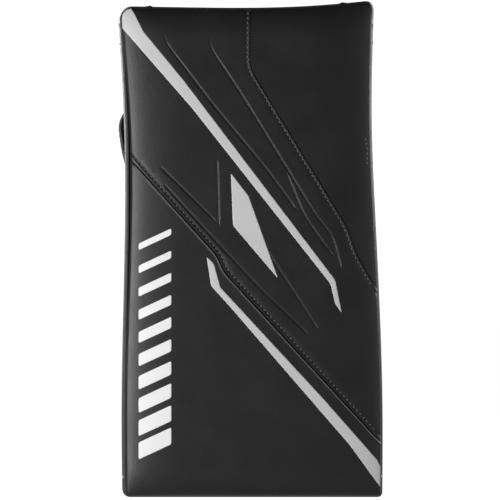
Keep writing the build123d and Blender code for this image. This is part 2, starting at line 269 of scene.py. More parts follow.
def bumped(tree, shader, height, distance, strength, under=None):
    """Adds relief to a shader, over the relief that under already gives."""
    node = tree.nodes.new("ShaderNodeBump")
    node.inputs["Distance"].default_value = distance
    node.inputs["Strength"].default_value = strength
    tree.links.new(height, node.inputs["Height"])
    if under is not None:
        tree.links.new(under, node.inputs["Normal"])
    tree.links.new(node.outputs["Normal"], shader.inputs["Normal"])
    return node.outputs["Normal"]


def leather(
    name, dark, light, roughness, specular=0.5, grain=900.0, relief=0.00012, strength=0.35, sheen=0.0
):
    """Grained synthetic leather: pebbled relief over soft creases, with a slightly uneven gloss."""
    material, shader = new_material(name, roughness, specular)
    tree = material.node_tree
    blotches = texture(tree, "ShaderNodeTexNoise", 38.0, Detail=4.0, Roughness=0.55)
    pebbles = texture(tree, "ShaderNodeTexVoronoi", grain, feature="SMOOTH_F1", Smoothness=0.6)
    creases = texture(tree, "ShaderNodeTexNoise", 240.0, Detail=3.0, Roughness=0.6)
    colour = mixed_colour(tree, blotches.outputs["Fac"], dark, light)
    tree.links.new(colour, shader.inputs["Base Color"])
    gloss = ranged(tree, blotches.outputs["Fac"], roughness - 0.07, roughness + 0.07)
    tree.links.new(gloss, shader.inputs["Roughness"])
    wide = bumped(tree, shader, creases.outputs["Fac"], 0.0003, 0.12)
    bumped(tree, shader, pebbles.outputs["Distance"], relief, strength, under=wide)
    shader.inputs["Sheen Weight"].default_value = sheen
    return material


def woven(name, dark, light, thread=0.0011, roughness=0.85, sheen=0.3, relief=0.0002):
    """Woven nylon or webbing: two crossed sets of threads, with a soft sheen."""
    material, shader = new_material(name, roughness, 0.3)
    tree = material.node_tree
    waves = []
    for direction in ("X", "Z"):
        wave = texture(tree, "ShaderNodeTexWave", 0.5 / thread / math.pi, Distortion=0.6)
        wave.bands_direction = direction
        wave.wave_profile = "SIN"
        waves.append(wave.outputs["Fac"])
    crossed = tree.nodes.new("ShaderNodeMath")
    crossed.operation = "MULTIPLY"
    tree.links.new(waves[0], crossed.inputs[0])
    tree.links.new(waves[1], crossed.inputs[1])
    colour = mixed_colour(tree, crossed.outputs["Value"], dark, light)
    tree.links.new(colour, shader.inputs["Base Color"])
    fuzz = texture(tree, "ShaderNodeTexNoise", 1500.0, Detail=2.0)
    soft = bumped(tree, shader, fuzz.outputs["Fac"], 0.0001, 0.3)
    bumped(tree, shader, crossed.outputs["Value"], relief, 0.6, under=soft)
    shader.inputs["Sheen Weight"].default_value = sheen
    shader.inputs["Sheen Roughness"].default_value = 0.5
    return material


FACE_LEATHER = leather(
    "face_leather_black", 0.006, 0.011, 0.42, specular=0.48, grain=1300.0,
    relief=0.00015, strength=0.5
)
TRIM_SILVER = leather(
    "trim_silver", 0.60, 0.68, 0.42, specular=0.4, grain=1300.0, relief=0.00008
)
BAR_WHITE = leather("bar_white", 0.90, 0.94, 0.45, specular=0.4, relief=0.00006)
BINDING = leather("binding_black", 0.020, 0.030, 0.5, grain=1400.0)
THREAD = leather("thread_black", 0.085, 0.11, 0.5, specular=0.5, grain=2500.0)
# A pale leather for the bead on the lower seam's fold: a painted highlight for the light that the fold's lip catches.
SEAM_PAINTED_HIGHLIGHT = leather("seam_edge", 0.14, 0.19, 0.45, specular=0.5, grain=2500.0)
LINER_NYLON = woven("liner_nylon", 0.012, 0.03)


# ---------------------------------------------------------------- geometry helpers


def make_piece(name, points, faces, body, material, slot, normals=None):
    """A smooth mesh piece that rides on a body. Points are in the board's frame."""
    mesh = bpy.data.meshes.new(name)
    mesh.from_pydata(to_row(points).tolist(), [], faces)
    mesh.update()
    mesh.polygons.foreach_set("use_smooth", [True] * len(mesh.polygons))
    if normals is not None:
        mesh.normals_split_custom_set_from_vertices(normals.tolist())
    mesh.materials.append(material)
    piece = bpy.data.objects.new(name, mesh)
    bpy.context.scene.collection.objects.link(piece)
    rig.slot(piece, slot)
    if body is not None:
        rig.ride(piece, body)
    return piece


def curve_through(points):
    """A natural cubic spline through (t, value) points, as a function of t."""
    t, value = np.array(points, float).T
    gap = np.diff(t)
    rows, right = np.eye(len(t)), np.zeros(len(t))
    for i in range(1, len(t) - 1):
        rows[i, i - 1:i + 2] = gap[i - 1], 2 * (gap[i - 1] + gap[i]), gap[i]
        right[i] = 6 * ((value[i + 1] - value[i]) / gap[i] - (value[i] - value[i - 1]) / gap[i - 1])
    bend = np.linalg.solve(rows, right)

    def at(s):
        s = np.clip(np.asarray(s, float), t[0], t[-1])
        i = np.clip(np.searchsorted(t, s) - 1, 0, len(t) - 2)
        after, before, h = s - t[i], t[i + 1] - s, gap[i]
        curved = (bend[i] * before**3 + bend[i + 1] * after**3) / (6 * h)
        straight = (value[i] / h - bend[i] * h / 6) * before
        return curved + straight + (value[i + 1] / h - bend[i + 1] * h / 6) * after

    return at


left_at = curve_through(LEFT_SIDE)
right_at = curve_through(RIGHT_SIDE)
top_at = curve_through(TOP_EDGE)
reveal_at = curve_through(LEFT_REVEAL)


def face_left_at(z):
    """The left edge of the face, which stops short of the bound edge and leaves it in view."""
    return left_at(z) + reveal_at(z)


def insets(x, z):
    """How far points lie in from the nearer side, and from the nearer end, of the face."""
    return np.minimum(x - face_left_at(z), right_at(z) - x), np.minimum(top_at(x) - z, z)


def edge_distance(points):
    """How far points lie in from the face's outline, whose corners are round."""
    side, end = insets(points[:, 0], points[:, 1])
    on_top, on_left = points[:, 1] > LEFT_SIDE[-1][0] / 2, points[:, 0] < 0
    top_left, top_right, bottom_right, bottom_left = CORNER_RADII
    upper, lower = np.where(on_left, top_left, top_right), np.where(on_left, bottom_left, bottom_right)
    radius = np.where(on_top, upper, lower)
    short = np.hypot(np.maximum(radius - side, 0), np.maximum(radius - end, 0))
    in_corner = (side < radius) & (end < radius)
    return np.where(in_corner, radius - short, np.minimum(side, end))


def quarter_round(share):
    """0 at 0 and 1 from 1 on, rising like a quarter circle."""
    return np.sqrt(1 - (1 - np.clip(share, 0, 1)) ** 2)


def crown_depth(points):
    """How far back the padded face lies: nothing over the middle, falling away near every edge."""
    side, end = insets(points[:, 0], points[:, 1])
    return CROWN_DROP * (1 - quarter_round(side / CROWN_SIDE) * quarter_round(end / CROWN_END))


def outline_loop(inset, step=3.0, left_at=left_at):
    """Points round the board's outline, drawn in by inset: up the left, across the top and back."""
    radii = [max(radius - inset, 1.0) for radius in CORNER_RADII]
    reach = [inset + radius for radius in radii]
    top_left = float(top_at(left_at(LEFT_SIDE[-1][0]) + reach[0])) - reach[0]
    top_right = float(top_at(right_at(RIGHT_SIDE[-1][0]) - reach[1])) - reach[1]
    corners = [
        (left_at(top_left) + reach[0], top_left, radii[0], 180),
        (right_at(top_right) - reach[1], top_right, radii[1], 90),
        (right_at(reach[2]) - reach[2], reach[2], radii[2], 0),
        (left_at(reach[3]) + reach[3], reach[3], radii[3], -90),
    ]
    rise = np.linspace(reach[3], top_left, int((top_left - reach[3]) / step))[:-1]
    loop = [(left_at(z) + inset, z) for z in rise]
    for i, (x, z, round_by, start) in enumerate(corners):
        turn = np.radians(np.linspace(start, start - 90, max(5, int(round_by * 1.6 / step) + 2)))
        loop += [(x + round_by * math.cos(a), z + round_by * math.sin(a)) for a in turn]
        next_x, next_z = corners[(i + 1) % 4][:2]
        if i in (0, 2):
            across = np.linspace(x, next_x, int(abs(next_x - x) / step))[1:-1]
            loop += [(s, top_at(s) - inset if i == 0 else inset) for s in across]
        elif i == 1:
            down = np.linspace(z, next_z, int(abs(next_z - z) / step))[1:-1]
            loop += [(right_at(s) - inset, s) for s in down]
    return np.array(loop, float)


def path_points(points, step=2.5, radius=0.0, closed=False):
    """A path resampled about every step, with its corners rounded off within radius of each."""
    points = [np.array(p, float) for p in points]
    count = len(points)
    spots = []
    for i in range(count):
        inner = closed or 0 < i < count - 1
        before, here, after = points[i - 1], points[i], points[(i + 1) % count]
        if not inner or radius == 0:
            spots.append(here)
            continue
        cut = min(radius, np.linalg.norm(here - before) * 0.45, np.linalg.norm(after - here) * 0.45)
        start = here + (before - here) / np.linalg.norm(before - here) * cut
        end = here + (after - here) / np.linalg.norm(after - here) * cut
        for t in np.linspace(0, 1, 5):
            spots.append((1 - t) ** 2 * start + 2 * t * (1 - t) * here + t**2 * end)
    if closed:
        spots.append(spots[0])
    path = [spots[0]]
    for a, b in zip(spots, spots[1:]):
        parts = max(1, int(round(np.linalg.norm(b - a) / step)))
        path += [a + (b - a) * k / parts for k in range(1, parts + 1)]
    return np.array(path[:-1] if closed else path)


def beside(path, distance, closed=False):
    """A path moved sideways, to its right when distance is positive."""
    if closed:
        along = np.roll(path, -1, 0) - np.roll(path, 1, 0)
    else:
        along = np.gradient(path, axis=0)
    along /= np.maximum(np.linalg.norm(along, axis=1, keepdims=True), 1e-9)
    return path + distance * np.column_stack([along[:, 1], -along[:, 0]])


def side_distance(points, path, closed=False):
    """Each point's distance from a path, positive to its right. On a closed path going round
    clockwise, positive is inside."""
    ends = np.roll(path, -1, 0) if closed else path[1:]
    starts = path if closed else path[:-1]
    best = np.full(len(points), np.inf)
    sign = np.ones(len(points))
    for a, b in zip(starts, ends):
        span = b - a
        length = max(span @ span, 1e-12)
        t = np.clip(((points - a) @ span) / length, 0, 1)
        away = points - a - t[:, None] * span
        distance = np.hypot(away[:, 0], away[:, 1])
        cross = span[1] * (points[:, 0] - a[0]) - span[0] * (points[:, 1] - a[1])
        nearer = distance < best - 1e-9
        best = np.where(nearer, distance, best)
        sign = np.where(nearer, np.sign(cross), sign)
    return best * np.where(sign == 0, 1, sign)


def inside_loop(points, loop):
    """Which points lie inside a closed path."""
    found = np.zeros(len(points), bool)
    for (x1, z1), (x2, z2) in zip(loop, np.roll(loop, -1, 0)):
        crosses = (z1 > points[:, 1]) != (z2 > points[:, 1])
        with np.errstate(divide="ignore", invalid="ignore"):
            at = (x2 - x1) * (points[:, 1] - z1) / (z2 - z1) + x1
        found ^= crosses & (points[:, 0] < at)
    return found


def triangulate(lines, closed_lines, spacing, low, high):
    """A triangle mesh that follows all the lines, with a regular grid of points between them."""
    points, edges = [], []
    for line, closed in [(path, False) for path in lines] + [(path, True) for path in closed_lines]:
        first = len(points)
        points += line.tolist()
        count = len(line)
        edges += [(first + i, first + (i + 1) % count) for i in range(count if closed else count - 1)]
    placed = np.array(points)
    xs = np.arange(low[0], high[0] + spacing, spacing)
    zs = np.arange(low[1], high[1] + spacing, spacing * 0.866)
    grid = np.array([(x + (j % 2) * spacing / 2, z) for j, z in enumerate(zs) for x in xs])
    clear = np.full(len(grid), np.inf)
    for start in range(0, len(placed), 400):
        chunk = placed[start:start + 400]
        gap = np.hypot(grid[:, None, 0] - chunk[None, :, 0], grid[:, None, 1] - chunk[None, :, 1])
        clear = np.minimum(clear, gap.min(1))
    points += grid[clear > spacing * 0.45].tolist()
    found = delaunay_2d_cdt([Vector(p) for p in points], edges, [], 0, 0.01)
    return np.array([tuple(v) for v in found[0]]), np.array([list(f) for f in found[2]])


def used_part(points, triangles):
    """The points that triangles use, and the triangles renumbered and all turned the same way."""
    used = np.unique(triangles)
    renumber = np.full(len(points), -1)
    renumber[used] = np.arange(len(used))
    points, triangles = points[used], renumber[triangles]
    a, b, c = (points[triangles[:, i]] for i in range(3))
    turned = (b[:, 0] - a[:, 0]) * (c[:, 1] - a[:, 1]) - (b[:, 1] - a[:, 1]) * (c[:, 0] - a[:, 0]) < 0
    triangles[turned] = triangles[turned][:, ::-1]
    return points, triangles


def shell_faces(triangles, count):
    """The faces of a closed shell over count points and the same count behind them: the triangles in
    front, the same behind, and the sides."""
    faces = triangles.tolist() + (triangles[:, ::-1] + count).tolist()
    edges = {(t[i], t[(i + 1) % 3]) for t in triangles.tolist() for i in range(3)}
    for first, second in sorted(edges):
        if (second, first) not in edges:
            faces.append([second, first, first + count, second + count])
    return faces


def sheet_piece(name, points, triangles, front, back, body, material, slot):
    """A closed thin sheet: triangles of the face, with a front and a back depth at each point.
    front and back are functions of the points, so that the shading follows the exact surface."""
    points, triangles = used_part(points, triangles)
    depth, behind = front(points), back(points)
    solid = np.vstack([
        np.column_stack([points[:, 0], depth, points[:, 1]]),
        np.column_stack([points[:, 0], np.maximum(behind, depth + THINNEST), points[:, 1]]),
    ])
    slopes = [
        (front(points + step) - front(points - step)) / (2 * SLOPE_STEP)
        for step in ([SLOPE_STEP, 0], [0, SLOPE_STEP])
    ]
    normals = np.column_stack([slopes[0], -np.ones(len(points)), slopes[1]])
    normals /= np.linalg.norm(normals, axis=1, keepdims=True)
    normals = np.vstack([normals, np.tile([0.0, 1.0, 0.0], (len(points), 1))])
    return make_piece(name, solid, shell_faces(triangles, len(points)), body, material, slot, normals)


def run_along(path):
    """How far along a path each of its points lies."""
    gaps = np.linalg.norm(np.diff(np.asarray(path, float), axis=0), axis=1)
    return np.concatenate([[0], np.cumsum(gaps)])


def path_length(path):
    """The length of a path."""
    return float(run_along(path)[-1])


def point_at(path, travelled, distance):
    """The point at a distance along a path, or the points at several."""
    return np.array([np.interp(distance, travelled, column) for column in np.asarray(path, float).T]).T


def carried_sides(points, closed=False, first=(0.0, 1.0, 0.0)):
    """The direction along a path at each point, and a sideways direction that doesn't twist about it."""
    if closed:
        along = np.roll(points, -1, 0) - np.roll(points, 1, 0)
    else:
        along = np.gradient(points, axis=0)
    along /= np.linalg.norm(along, axis=1, keepdims=True)
    first = np.array(first)
    if abs(first @ along[0]) > 0.9:
        first = np.array([1.0, 0.0, 0.0])
    side = [first]
    for direction in along:
        moved = side[-1] - direction * (side[-1] @ direction)
        side.append(moved / np.linalg.norm(moved))
    side = np.array(side[1:])
    if closed:
        last = side[-1] - along[0] * (side[-1] @ along[0])
        twist = math.atan2(np.cross(last, side[0]) @ along[0], last @ side[0])
        turn = np.linspace(0, twist, len(points), endpoint=False)[:, None]
        side = np.cos(turn) * side + np.sin(turn) * np.cross(along, side)
    return along, side


def ring_to_ring(first, second, size):
    """Quads from one ring of size points to another."""
    starts = [(j, (j + 1) % size) for j in range(size)]
    return [[first * size + j, first * size + k, second * size + k, second * size + j] for j, k in starts]


def ring(index, size):
    """The points of one ring, as one face."""
    return list(range(index * size, (index + 1) * size))


def skinned(rings, closed=False):
    """A closed skin over rings of points, with an end face at each end: (points, faces)."""
    count, size = np.shape(rings)[:2]
    faces = []
    for i in range(count if closed else count - 1):
        faces += ring_to_ring(i, (i + 1) % count, size)
    if not closed:
        faces += [ring(0, size)[::-1], ring(count - 1, size)]
    return np.reshape(rings, (-1, 3)), faces


def tube(points, radii, sides=10, closed=False, squash=1.0, first=(0.0, 1.0, 0.0)):
    """Rings of a tube along points, with a radius at each: (points, faces)."""
    points = np.asarray(points, float)
    radii = np.broadcast_to(radii, len(points))
    along, side = carried_sides(points, closed, first)
    up = np.cross(along, side)
    angles = np.linspace(0, 2 * math.pi, sides, endpoint=False)
    rings = (
        points[:, None]
        + radii[:, None, None] * squash * np.cos(angles)[None, :, None] * side[:, None]
        + radii[:, None, None] * np.sin(angles)[None, :, None] * up[:, None]
    )
    return skinned(rings, closed)


def joined(parts):
    """Several (points, faces) as one."""
    points, faces, start = [], [], 0
    for some_points, some_faces in parts:
        points.append(np.asarray(some_points, float))
        faces += [[i + start for i in face] for face in some_faces]
        start += len(some_points)
    return np.vstack(points), faces


def stitch(start, end, radius=0.38):
    """One stitch: a short thread with rounded ends."""
    shares = [0.0, 0.12, 0.3, 0.7, 0.88, 1.0]
    sizes = [0.25, 0.75, 1.0, 1.0, 0.75, 0.25]
    spots = [start + (end - start) * s for s in shares]
    return tube(spots, [radius * s for s in sizes], sides=6)


def stitches(spots, pitch, share, radius):
    """The stitches along a path in space, each a share of the pitch long."""
    travelled = run_along(spots)
    return [
        stitch(*point_at(spots, travelled, [k * pitch, (k + share) * pitch]), radius=radius)
        for k in range(int(travelled[-1] / pitch))
    ]


def face_stitches(path, depth):
    """The stitches along a path on the face, whose depth is a function of points."""
    travelled = run_along(path)
    parts = []
    for k in range(int(travelled[-1] / FACE_PITCH)):
        ends = point_at(path, travelled, [k * FACE_PITCH, (k + FACE_STITCH_SHARE) * FACE_PITCH])
        ends = np.insert(ends, 1, depth(ends) - FACE_STITCH_PROUD, axis=1)
        parts.append(stitch(*ends, radius=FACE_STITCH_RADIUS))
    return parts


# ---------------------------------------------------------------- the face

UPPER_SEAM = [(0.4, 400.0), (-0.3, 334.0), (76.2, 208.8), (82.0, 190.0), (125.0, 117.0)]
LOWER_SEAM = [(-125.0, 298.0), (-25.2, 187.3), (-20.6, 175.4), (127.0, 15.0)]
UPPER_STRIPE = [
    (-110.0, 392.0), (-97.0, 386.0), (-90.4, 375.1), (-83.8, 361.9), (-77.2, 354.0), (-52.0, 323.3),
    (65.5, 168.5), (70.6, 143.0), (65.5, 150.0), (61.8, 165.7), (-46.0, 302.5), (-110.0, 376.0),
]
LOWER_STRIPE = [
    (-34.6, 186.9), (-29.0, 181.3), (-24.0, 163.0), (55.5, 77.0), (98.0, 28.8), (106.0, 12.0),
    (106.0, 0.0), (77.0, 40.0), (-16.0, 147.5), (-31.0, 164.0),
]
DART = [(-15.7, 251.7), (-2.0, 234.0), (21.0, 169.8), (-14.0, 211.0)]
BAR_COUNT = 10
BAR_LEFT, BAR_RIGHT = -87.5, -62.0
BAR_BOTTOM, BAR_TOP = 29.0, 210.0
BAR_SLANT = 25.0
BAR_FILL_LOW, BAR_FILL_HIGH = 0.78, 0.30

PANEL_INSET = 0.3
SEAM_GAP = 0.35
SEAM_ROLL = 1.7
EDGE_ROLL = 2.2
PANEL_LIFT = {"upper": 0.1, "center": 0.8, "lower": 1.2}
FOLD_CREST, FOLD_WIDTH = 0.8, 0.55
EDGE_SINK = 1.6
BACK_GAP = 0.4
TRIM_LIFT = 0.55
TRIM_ROLL = 0.6
TRIM_INSET = 0.6
TRIM_SUNK = 0.5

# Lines pressed into the centre panel: how far each takes to fade in, and its points as (across, up).
PRESSED_LINES = [
    (45.0, [(-68.5, 361.8), (-65.4, 352.4), (-30.3, 305.8), (12.4, 254.4), (35.0, 223.3)]),
    (45.0, [(-31.6, 361.2), (-31.6, 350.1), (-26.8, 342.3), (-7.8, 313.5), (49.4, 220.2), (63.6, 202.4),
            (70.3, 176.6)]),
    (20.0, [(26.1, 256.0), (33.5, 237.3), (40.8, 219.4), (57.6, 195.3), (65.0, 186.4)]),
    (8.0, [(-26.5, 263.4), (-25.1, 210.1)]),
    (4.0, [(-70.5, 256.5), (-49.0, 235.7), (-26.8, 213.6)]),
    (4.0, [(-67.8, 243.1), (-22.6, 193.7), (7.8, 161.0), (45.1, 125.7)]),
    (10.0, [(-1.8, 235.9), (-2.0, 213.6), (12.1, 191.7), (52.4, 129.9)]),
]
PRESS_DEPTH = 0.85
STITCH_INSET = 2.6
FURROW_DEPTH, FURROW_WIDTH = 0.7, 0.7
SIDE_STITCHES = [(89.0, 279.5), (90.6, 270.0), (90.6, 262.0), (89.4, 254.0)]
PRESS_WIDTH = 0.65
PRESS_FADE_OUT = 6.0
SEAM_END = 2.5
# The radius of the pale bead painted on as the lower seam's highlight, and how far it stands proud.
SEAM_PAINTED_HIGHLIGHT_RADIUS = 0.32
SEAM_PAINTED_HIGHLIGHT_PROUD = 0.05
FACE_PITCH = 3.8
FACE_STITCH_SHARE = 0.55
FACE_STITCH_PROUD = 0.25
FACE_STITCH_RADIUS = 0.75
BINDING_RADIUS = 1.5
BINDING_DEPTH = 7.6
# The thinnest that a skin of the face may get, and the step over which its slope is taken.
THINNEST = 0.05
SLOPE_STEP = 0.08

upper_seam = path_points(UPPER_SEAM, radius=8.0)
lower_seam = path_points(LOWER_SEAM, radius=6.0)
pressed = [(fade_in, path_points(line, radius=9.0)) for fade_in, line in PRESSED_LINES]


def seam_sides(points):
    """Each point's signed distance from the upper seam, positive above it, and from the lower
    seam, positive above it."""
    return -side_distance(points, upper_seam), -side_distance(points, lower_seam)


def pressed_depth(points):
    """How far the pressed lines sink the surface. They fade in from one end."""
    deepest = np.zeros(len(points))
    for fade_in, line in pressed:
        away = side_distance(points, line) / PRESS_WIDTH
        from_start = np.hypot(*(points - line[0]).T) / fade_in
        from_end = np.hypot(*(points - line[-1]).T) / PRESS_FADE_OUT
        share = np.clip(np.minimum(from_start, from_end), 0, 1)
        deepest = np.maximum(deepest, PRESS_DEPTH * share * np.exp(-away**2))
    return deepest


def panel_front(panel):
    """The front surface of one of the face's panels, as a function of points. The centre panel's
    folded edge lies over the upper panel, and the lower panel's over the centre one."""

    def front(points):
        above_upper, above_lower = seam_sides(points)
        seam = {
            "upper": np.full(len(points), np.inf),
            "lower": -above_lower,
            "center": -above_upper,
        }[panel]
        rolled = quarter_round((seam - SEAM_GAP) / SEAM_ROLL)
        tucked = quarter_round((edge_distance(points) - PANEL_INSET) / EDGE_ROLL)
        lift = PANEL_LIFT[panel]
        depth = crown_depth(points) - lift + (lift + EDGE_SINK) * (1 - rolled * tucked)
        if panel == "lower":
            return depth - FOLD_CREST * np.exp(-((seam - SEAM_ROLL) / FOLD_WIDTH) ** 2)
        if panel == "upper":
            return depth
        from_upper, from_lower = np.abs(-above_upper - STITCH_INSET), np.abs(above_lower - STITCH_INSET)
        from_stitches = np.minimum(from_upper, from_lower)
        furrow = FURROW_DEPTH * np.exp(-(from_stitches / FURROW_WIDTH) ** 2)
        return depth + np.maximum(pressed_depth(points), furrow)

    return front


def panel_of(points):
    """The panel that each point of the face lies on."""
    above_upper, above_lower = seam_sides(points)
    panel = np.where(above_lower < 0, "lower", "center")
    return np.where(above_upper > 0, "upper", panel)


def face_front(points):
    """The face's front surface, whichever panel a point lies on, without its seams' edges."""
    panel = panel_of(points)
    return crown_depth(points) - np.vectorize(PANEL_LIFT.get)(panel)


def sheet_back(points):
    """The back of the face's skins."""
    return crown_depth(points) + EDGE_SINK + BACK_GAP


def build_face():
    """The three panels of the face, which share one triangulation, their stitches, and a pale bead painted on as the
    highlight along the lower seam's fold.
    """
    offsets = (SEAM_GAP, SEAM_GAP + 0.35, SEAM_GAP + 0.8, SEAM_GAP + 1.35, SEAM_GAP + SEAM_ROLL)
    offsets += tuple(STITCH_INSET + d for d in (-0.2, 0.0, 0.2, 0.6, 1.3))
    seams = (upper_seam, lower_seam)
    lines = [beside(seam, sign * d) for seam in seams for d in offsets for sign in (-1, 1)]
    for _, line in pressed:
        lines += [beside(line, d) for d in (-2.0, -1.1, -0.55, 0.0, 0.55, 1.1, 2.0)]
    insets_used = (0.0, 0.3, 0.9, EDGE_ROLL, EDGE_ROLL + 2, EDGE_ROLL + 5)
    loops = [outline_loop(PANEL_INSET + d, left_at=face_left_at) for d in insets_used]
    points, triangles = triangulate(lines, loops, 4.0, (-106, 0), (104, 386))
    middle = points[triangles].mean(1)
    above_upper, above_lower = seam_sides(middle)
    kept = inside_loop(middle, loops[0])
    chosen = {
        "upper": kept & (above_upper > -SEAM_GAP),
        "center": kept & (above_upper < -SEAM_GAP) & (above_lower > -SEAM_GAP),
        "lower": kept & (above_lower < -SEAM_GAP) & (above_upper < SEAM_GAP),
    }
    for panel, these in chosen.items():
        piece = sheet_piece(
            "skin_" + panel, points, triangles[these], panel_front(panel), sheet_back, "board",
            FACE_LEATHER, "face_leather",
        )
        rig.replaces(piece, "face_panel_" + panel)
        corners = points[triangles[these]]
        width, length = (corners.max((0, 1)) - corners.min((0, 1))) * MM
        first, second = corners[:, 1] - corners[:, 0], corners[:, 2] - corners[:, 0]
        area = np.sum(np.abs(first[:, 0] * second[:, 1] - first[:, 1] * second[:, 0])) / 2 * MM**2
        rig.sheet(piece, flat=(width, length), held="stretched", rests_on=["foam_core"], area=area)
    parts = []
    for row in (beside(upper_seam, STITCH_INSET), beside(lower_seam, -STITCH_INSET)):
        parts += face_stitches(row[edge_distance(row) > SEAM_END], panel_front("center"))
    parts += face_stitches(path_points(SIDE_STITCHES), panel_front("upper"))
    make_piece("seam_stitches", *joined(parts), "board", THREAD, "face_leather")

    # A pale bead along the lower panel's fold: a painted highlight, standing in for the light that the folded lip
    # catches.
    fold = beside(lower_seam, SEAM_ROLL)
    fold = fold[(edge_distance(fold) > SEAM_END) & inside_loop(fold, loops[0])]
    ridge = np.insert(fold, 1, panel_front("lower")(fold) - SEAM_PAINTED_HIGHLIGHT_PROUD, axis=1)
    piece = make_piece(
        "lower_seam_edge", *tube(ridge, SEAM_PAINTED_HIGHLIGHT_RADIUS, sides=8), "board", SEAM_PAINTED_HIGHLIGHT, "face_leather"
    )
    outwards(piece)


def trim_piece(name, loops, material, slot, node):
    """A thin overlay on the face, with rolled edges, cut off at the face's edge."""
    loops = [path_points(loop, step=2.5, radius=1.5, closed=True) for loop in loops]
    edge = PANEL_INSET + TRIM_INSET
    limit = outline_loop(edge, left_at=face_left_at)
    offsets = (0.25, 0.65, -0.25, -0.65)
    inner = [beside(loop, d, closed=True) for loop in loops for d in offsets]
    inner += [outline_loop(edge + d, left_at=face_left_at) for d in (0.5, 1.2, 2.1, 3.2, 4.6, 6.4)]
    low = np.min([loop.min(0) for loop in loops], 0)
    high = np.max([loop.max(0) for loop in loops], 0)
    points, triangles = triangulate([], loops + inner + [limit], 4.0, low, high)
    middle = points[triangles].mean(1)
    inside = np.zeros(len(middle), bool)
    for loop in loops:
        inside |= inside_loop(middle, loop)
    triangles = triangles[inside & inside_loop(middle, limit)]

    def front(spots):
        nearest = edge_distance(spots) - edge
        away = np.min([np.abs(side_distance(spots, loop, closed=True)) for loop in loops], 0)
        rolled = quarter_round(np.minimum(nearest, away) / TRIM_ROLL)
        return face_front(spots) - TRIM_LIFT * rolled

    def back(spots):
        return face_front(spots) + TRIM_SUNK

    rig.replaces(sheet_piece(name, points, triangles, front, back, "board", material, slot), node)


def build_trims():
    """The silver stripes and dart, and the white bars."""
    trim_piece("stripe_upper_silver", [UPPER_STRIPE], TRIM_SILVER, "silver_leather", "stripe_upper")
    trim_piece("stripe_lower_silver", [LOWER_STRIPE], TRIM_SILVER, "silver_leather", "stripe_lower")
    trim_piece("dart_silver", [DART], TRIM_SILVER, "silver_leather", "center_dart")
    pitch = (BAR_TOP - BAR_BOTTOM) / BAR_COUNT
    rise = (BAR_RIGHT - BAR_LEFT) * math.tan(math.radians(BAR_SLANT))
    bars = []
    for i in range(BAR_COUNT):
        fill = BAR_FILL_LOW + (BAR_FILL_HIGH - BAR_FILL_LOW) * i / (BAR_COUNT - 1)
        low = BAR_BOTTOM + i * pitch
        high = low + fill * (pitch - rise / BAR_COUNT)
        right = [(BAR_RIGHT, high + rise), (BAR_RIGHT, low + rise)]
        bars.append([(BAR_LEFT, low), (BAR_LEFT, high), *right])
    trim_piece("speed_bars_white", bars, BAR_WHITE, "white_leather", "speed_bars")


def edge_band(run, section, fold=0.0):
    """A band that follows a run of the board's outline. section is its profile, as (outward, depth),
    and fold is how much further out its outer side stands at each point of the run."""
    away, depth = np.array(section).T
    rings = []
    for (x, z), (out_x, out_z), more in zip(run, run - beside(run, 1.0), np.broadcast_to(fold, len(run))):
        out = away + np.where(away > 0, more, 0)
        rings.append(np.column_stack([x + out_x * out, depth, z + out_z * out]))
    points, faces = skinned(rings)
    # The end faces are turned the other way from the sides, and the shading at the ends depends on it.
    return points, faces[:-2] + [face[::-1] for face in faces[-2:]]


def build_binding():
    """The bound edge round the face, in view beside its left edge."""
    loop = outline_loop(BINDING_RADIUS)
    centre = np.column_stack([loop[:, 0], np.full(len(loop), BINDING_DEPTH), loop[:, 1]])
    bead = tube(centre, BINDING_RADIUS, sides=14, closed=True, squash=1.15)
    piece = make_piece("edge_binding", *bead, "board", BINDING, "piping")
    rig.replaces(piece, "edge_piping")


# The outer side of a gusset's section, as (outward, depth), and its thickness.
GUSSET_OUTER = [
    (-1.6, 6.0), (-0.2, 7.6), (0.5, 9.5), (1.1, 14.0), (1.4, 21.0), (1.2, 29.0), (0.5, 35.0), (-0.6, 37.4),
    (-2.2, 38.4),
]
GUSSET_THICKNESS = 1.2
GUSSET_OVERLAP = 3.5
# How far down from the top, and up from the bottom, the end gussets reach.
GUSSET_FROM_TOP, GUSSET_FROM_BOTTOM = 16.0, 12.0


def build_gussets():
    """The four leather sides of the board, which swell a little and turn over the back edge."""
    section = GUSSET_OUTER + [(x - GUSSET_THICKNESS, y) for x, y in GUSSET_OUTER[-2::-1]]
    loop = outline_loop(0.0)
    heights = loop[:, 1]
    top, bottom = heights.max() - GUSSET_FROM_TOP, GUSSET_FROM_BOTTOM
    on_left = loop[:, 0] < 0
    groups = {
        "gusset_left": on_left & (heights > bottom) & (heights < top),
        "gusset_right": ~on_left & (heights > bottom) & (heights < top),
        "gusset_top": heights >= top - GUSSET_OVERLAP,
        "gusset_bottom": heights <= bottom + GUSSET_OVERLAP,
    }
    for node, chosen in groups.items():
        start = -int(np.argmin(chosen))
        run = np.roll(loop, start, 0)[np.roll(chosen, start)]
        band = edge_band(run, section)
        piece = make_piece(node + "_skin", *band, "board", FACE_LEATHER, "face_leather")
        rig.replaces(piece, node)


# ---------------------------------------------------------------- soft and leather pieces

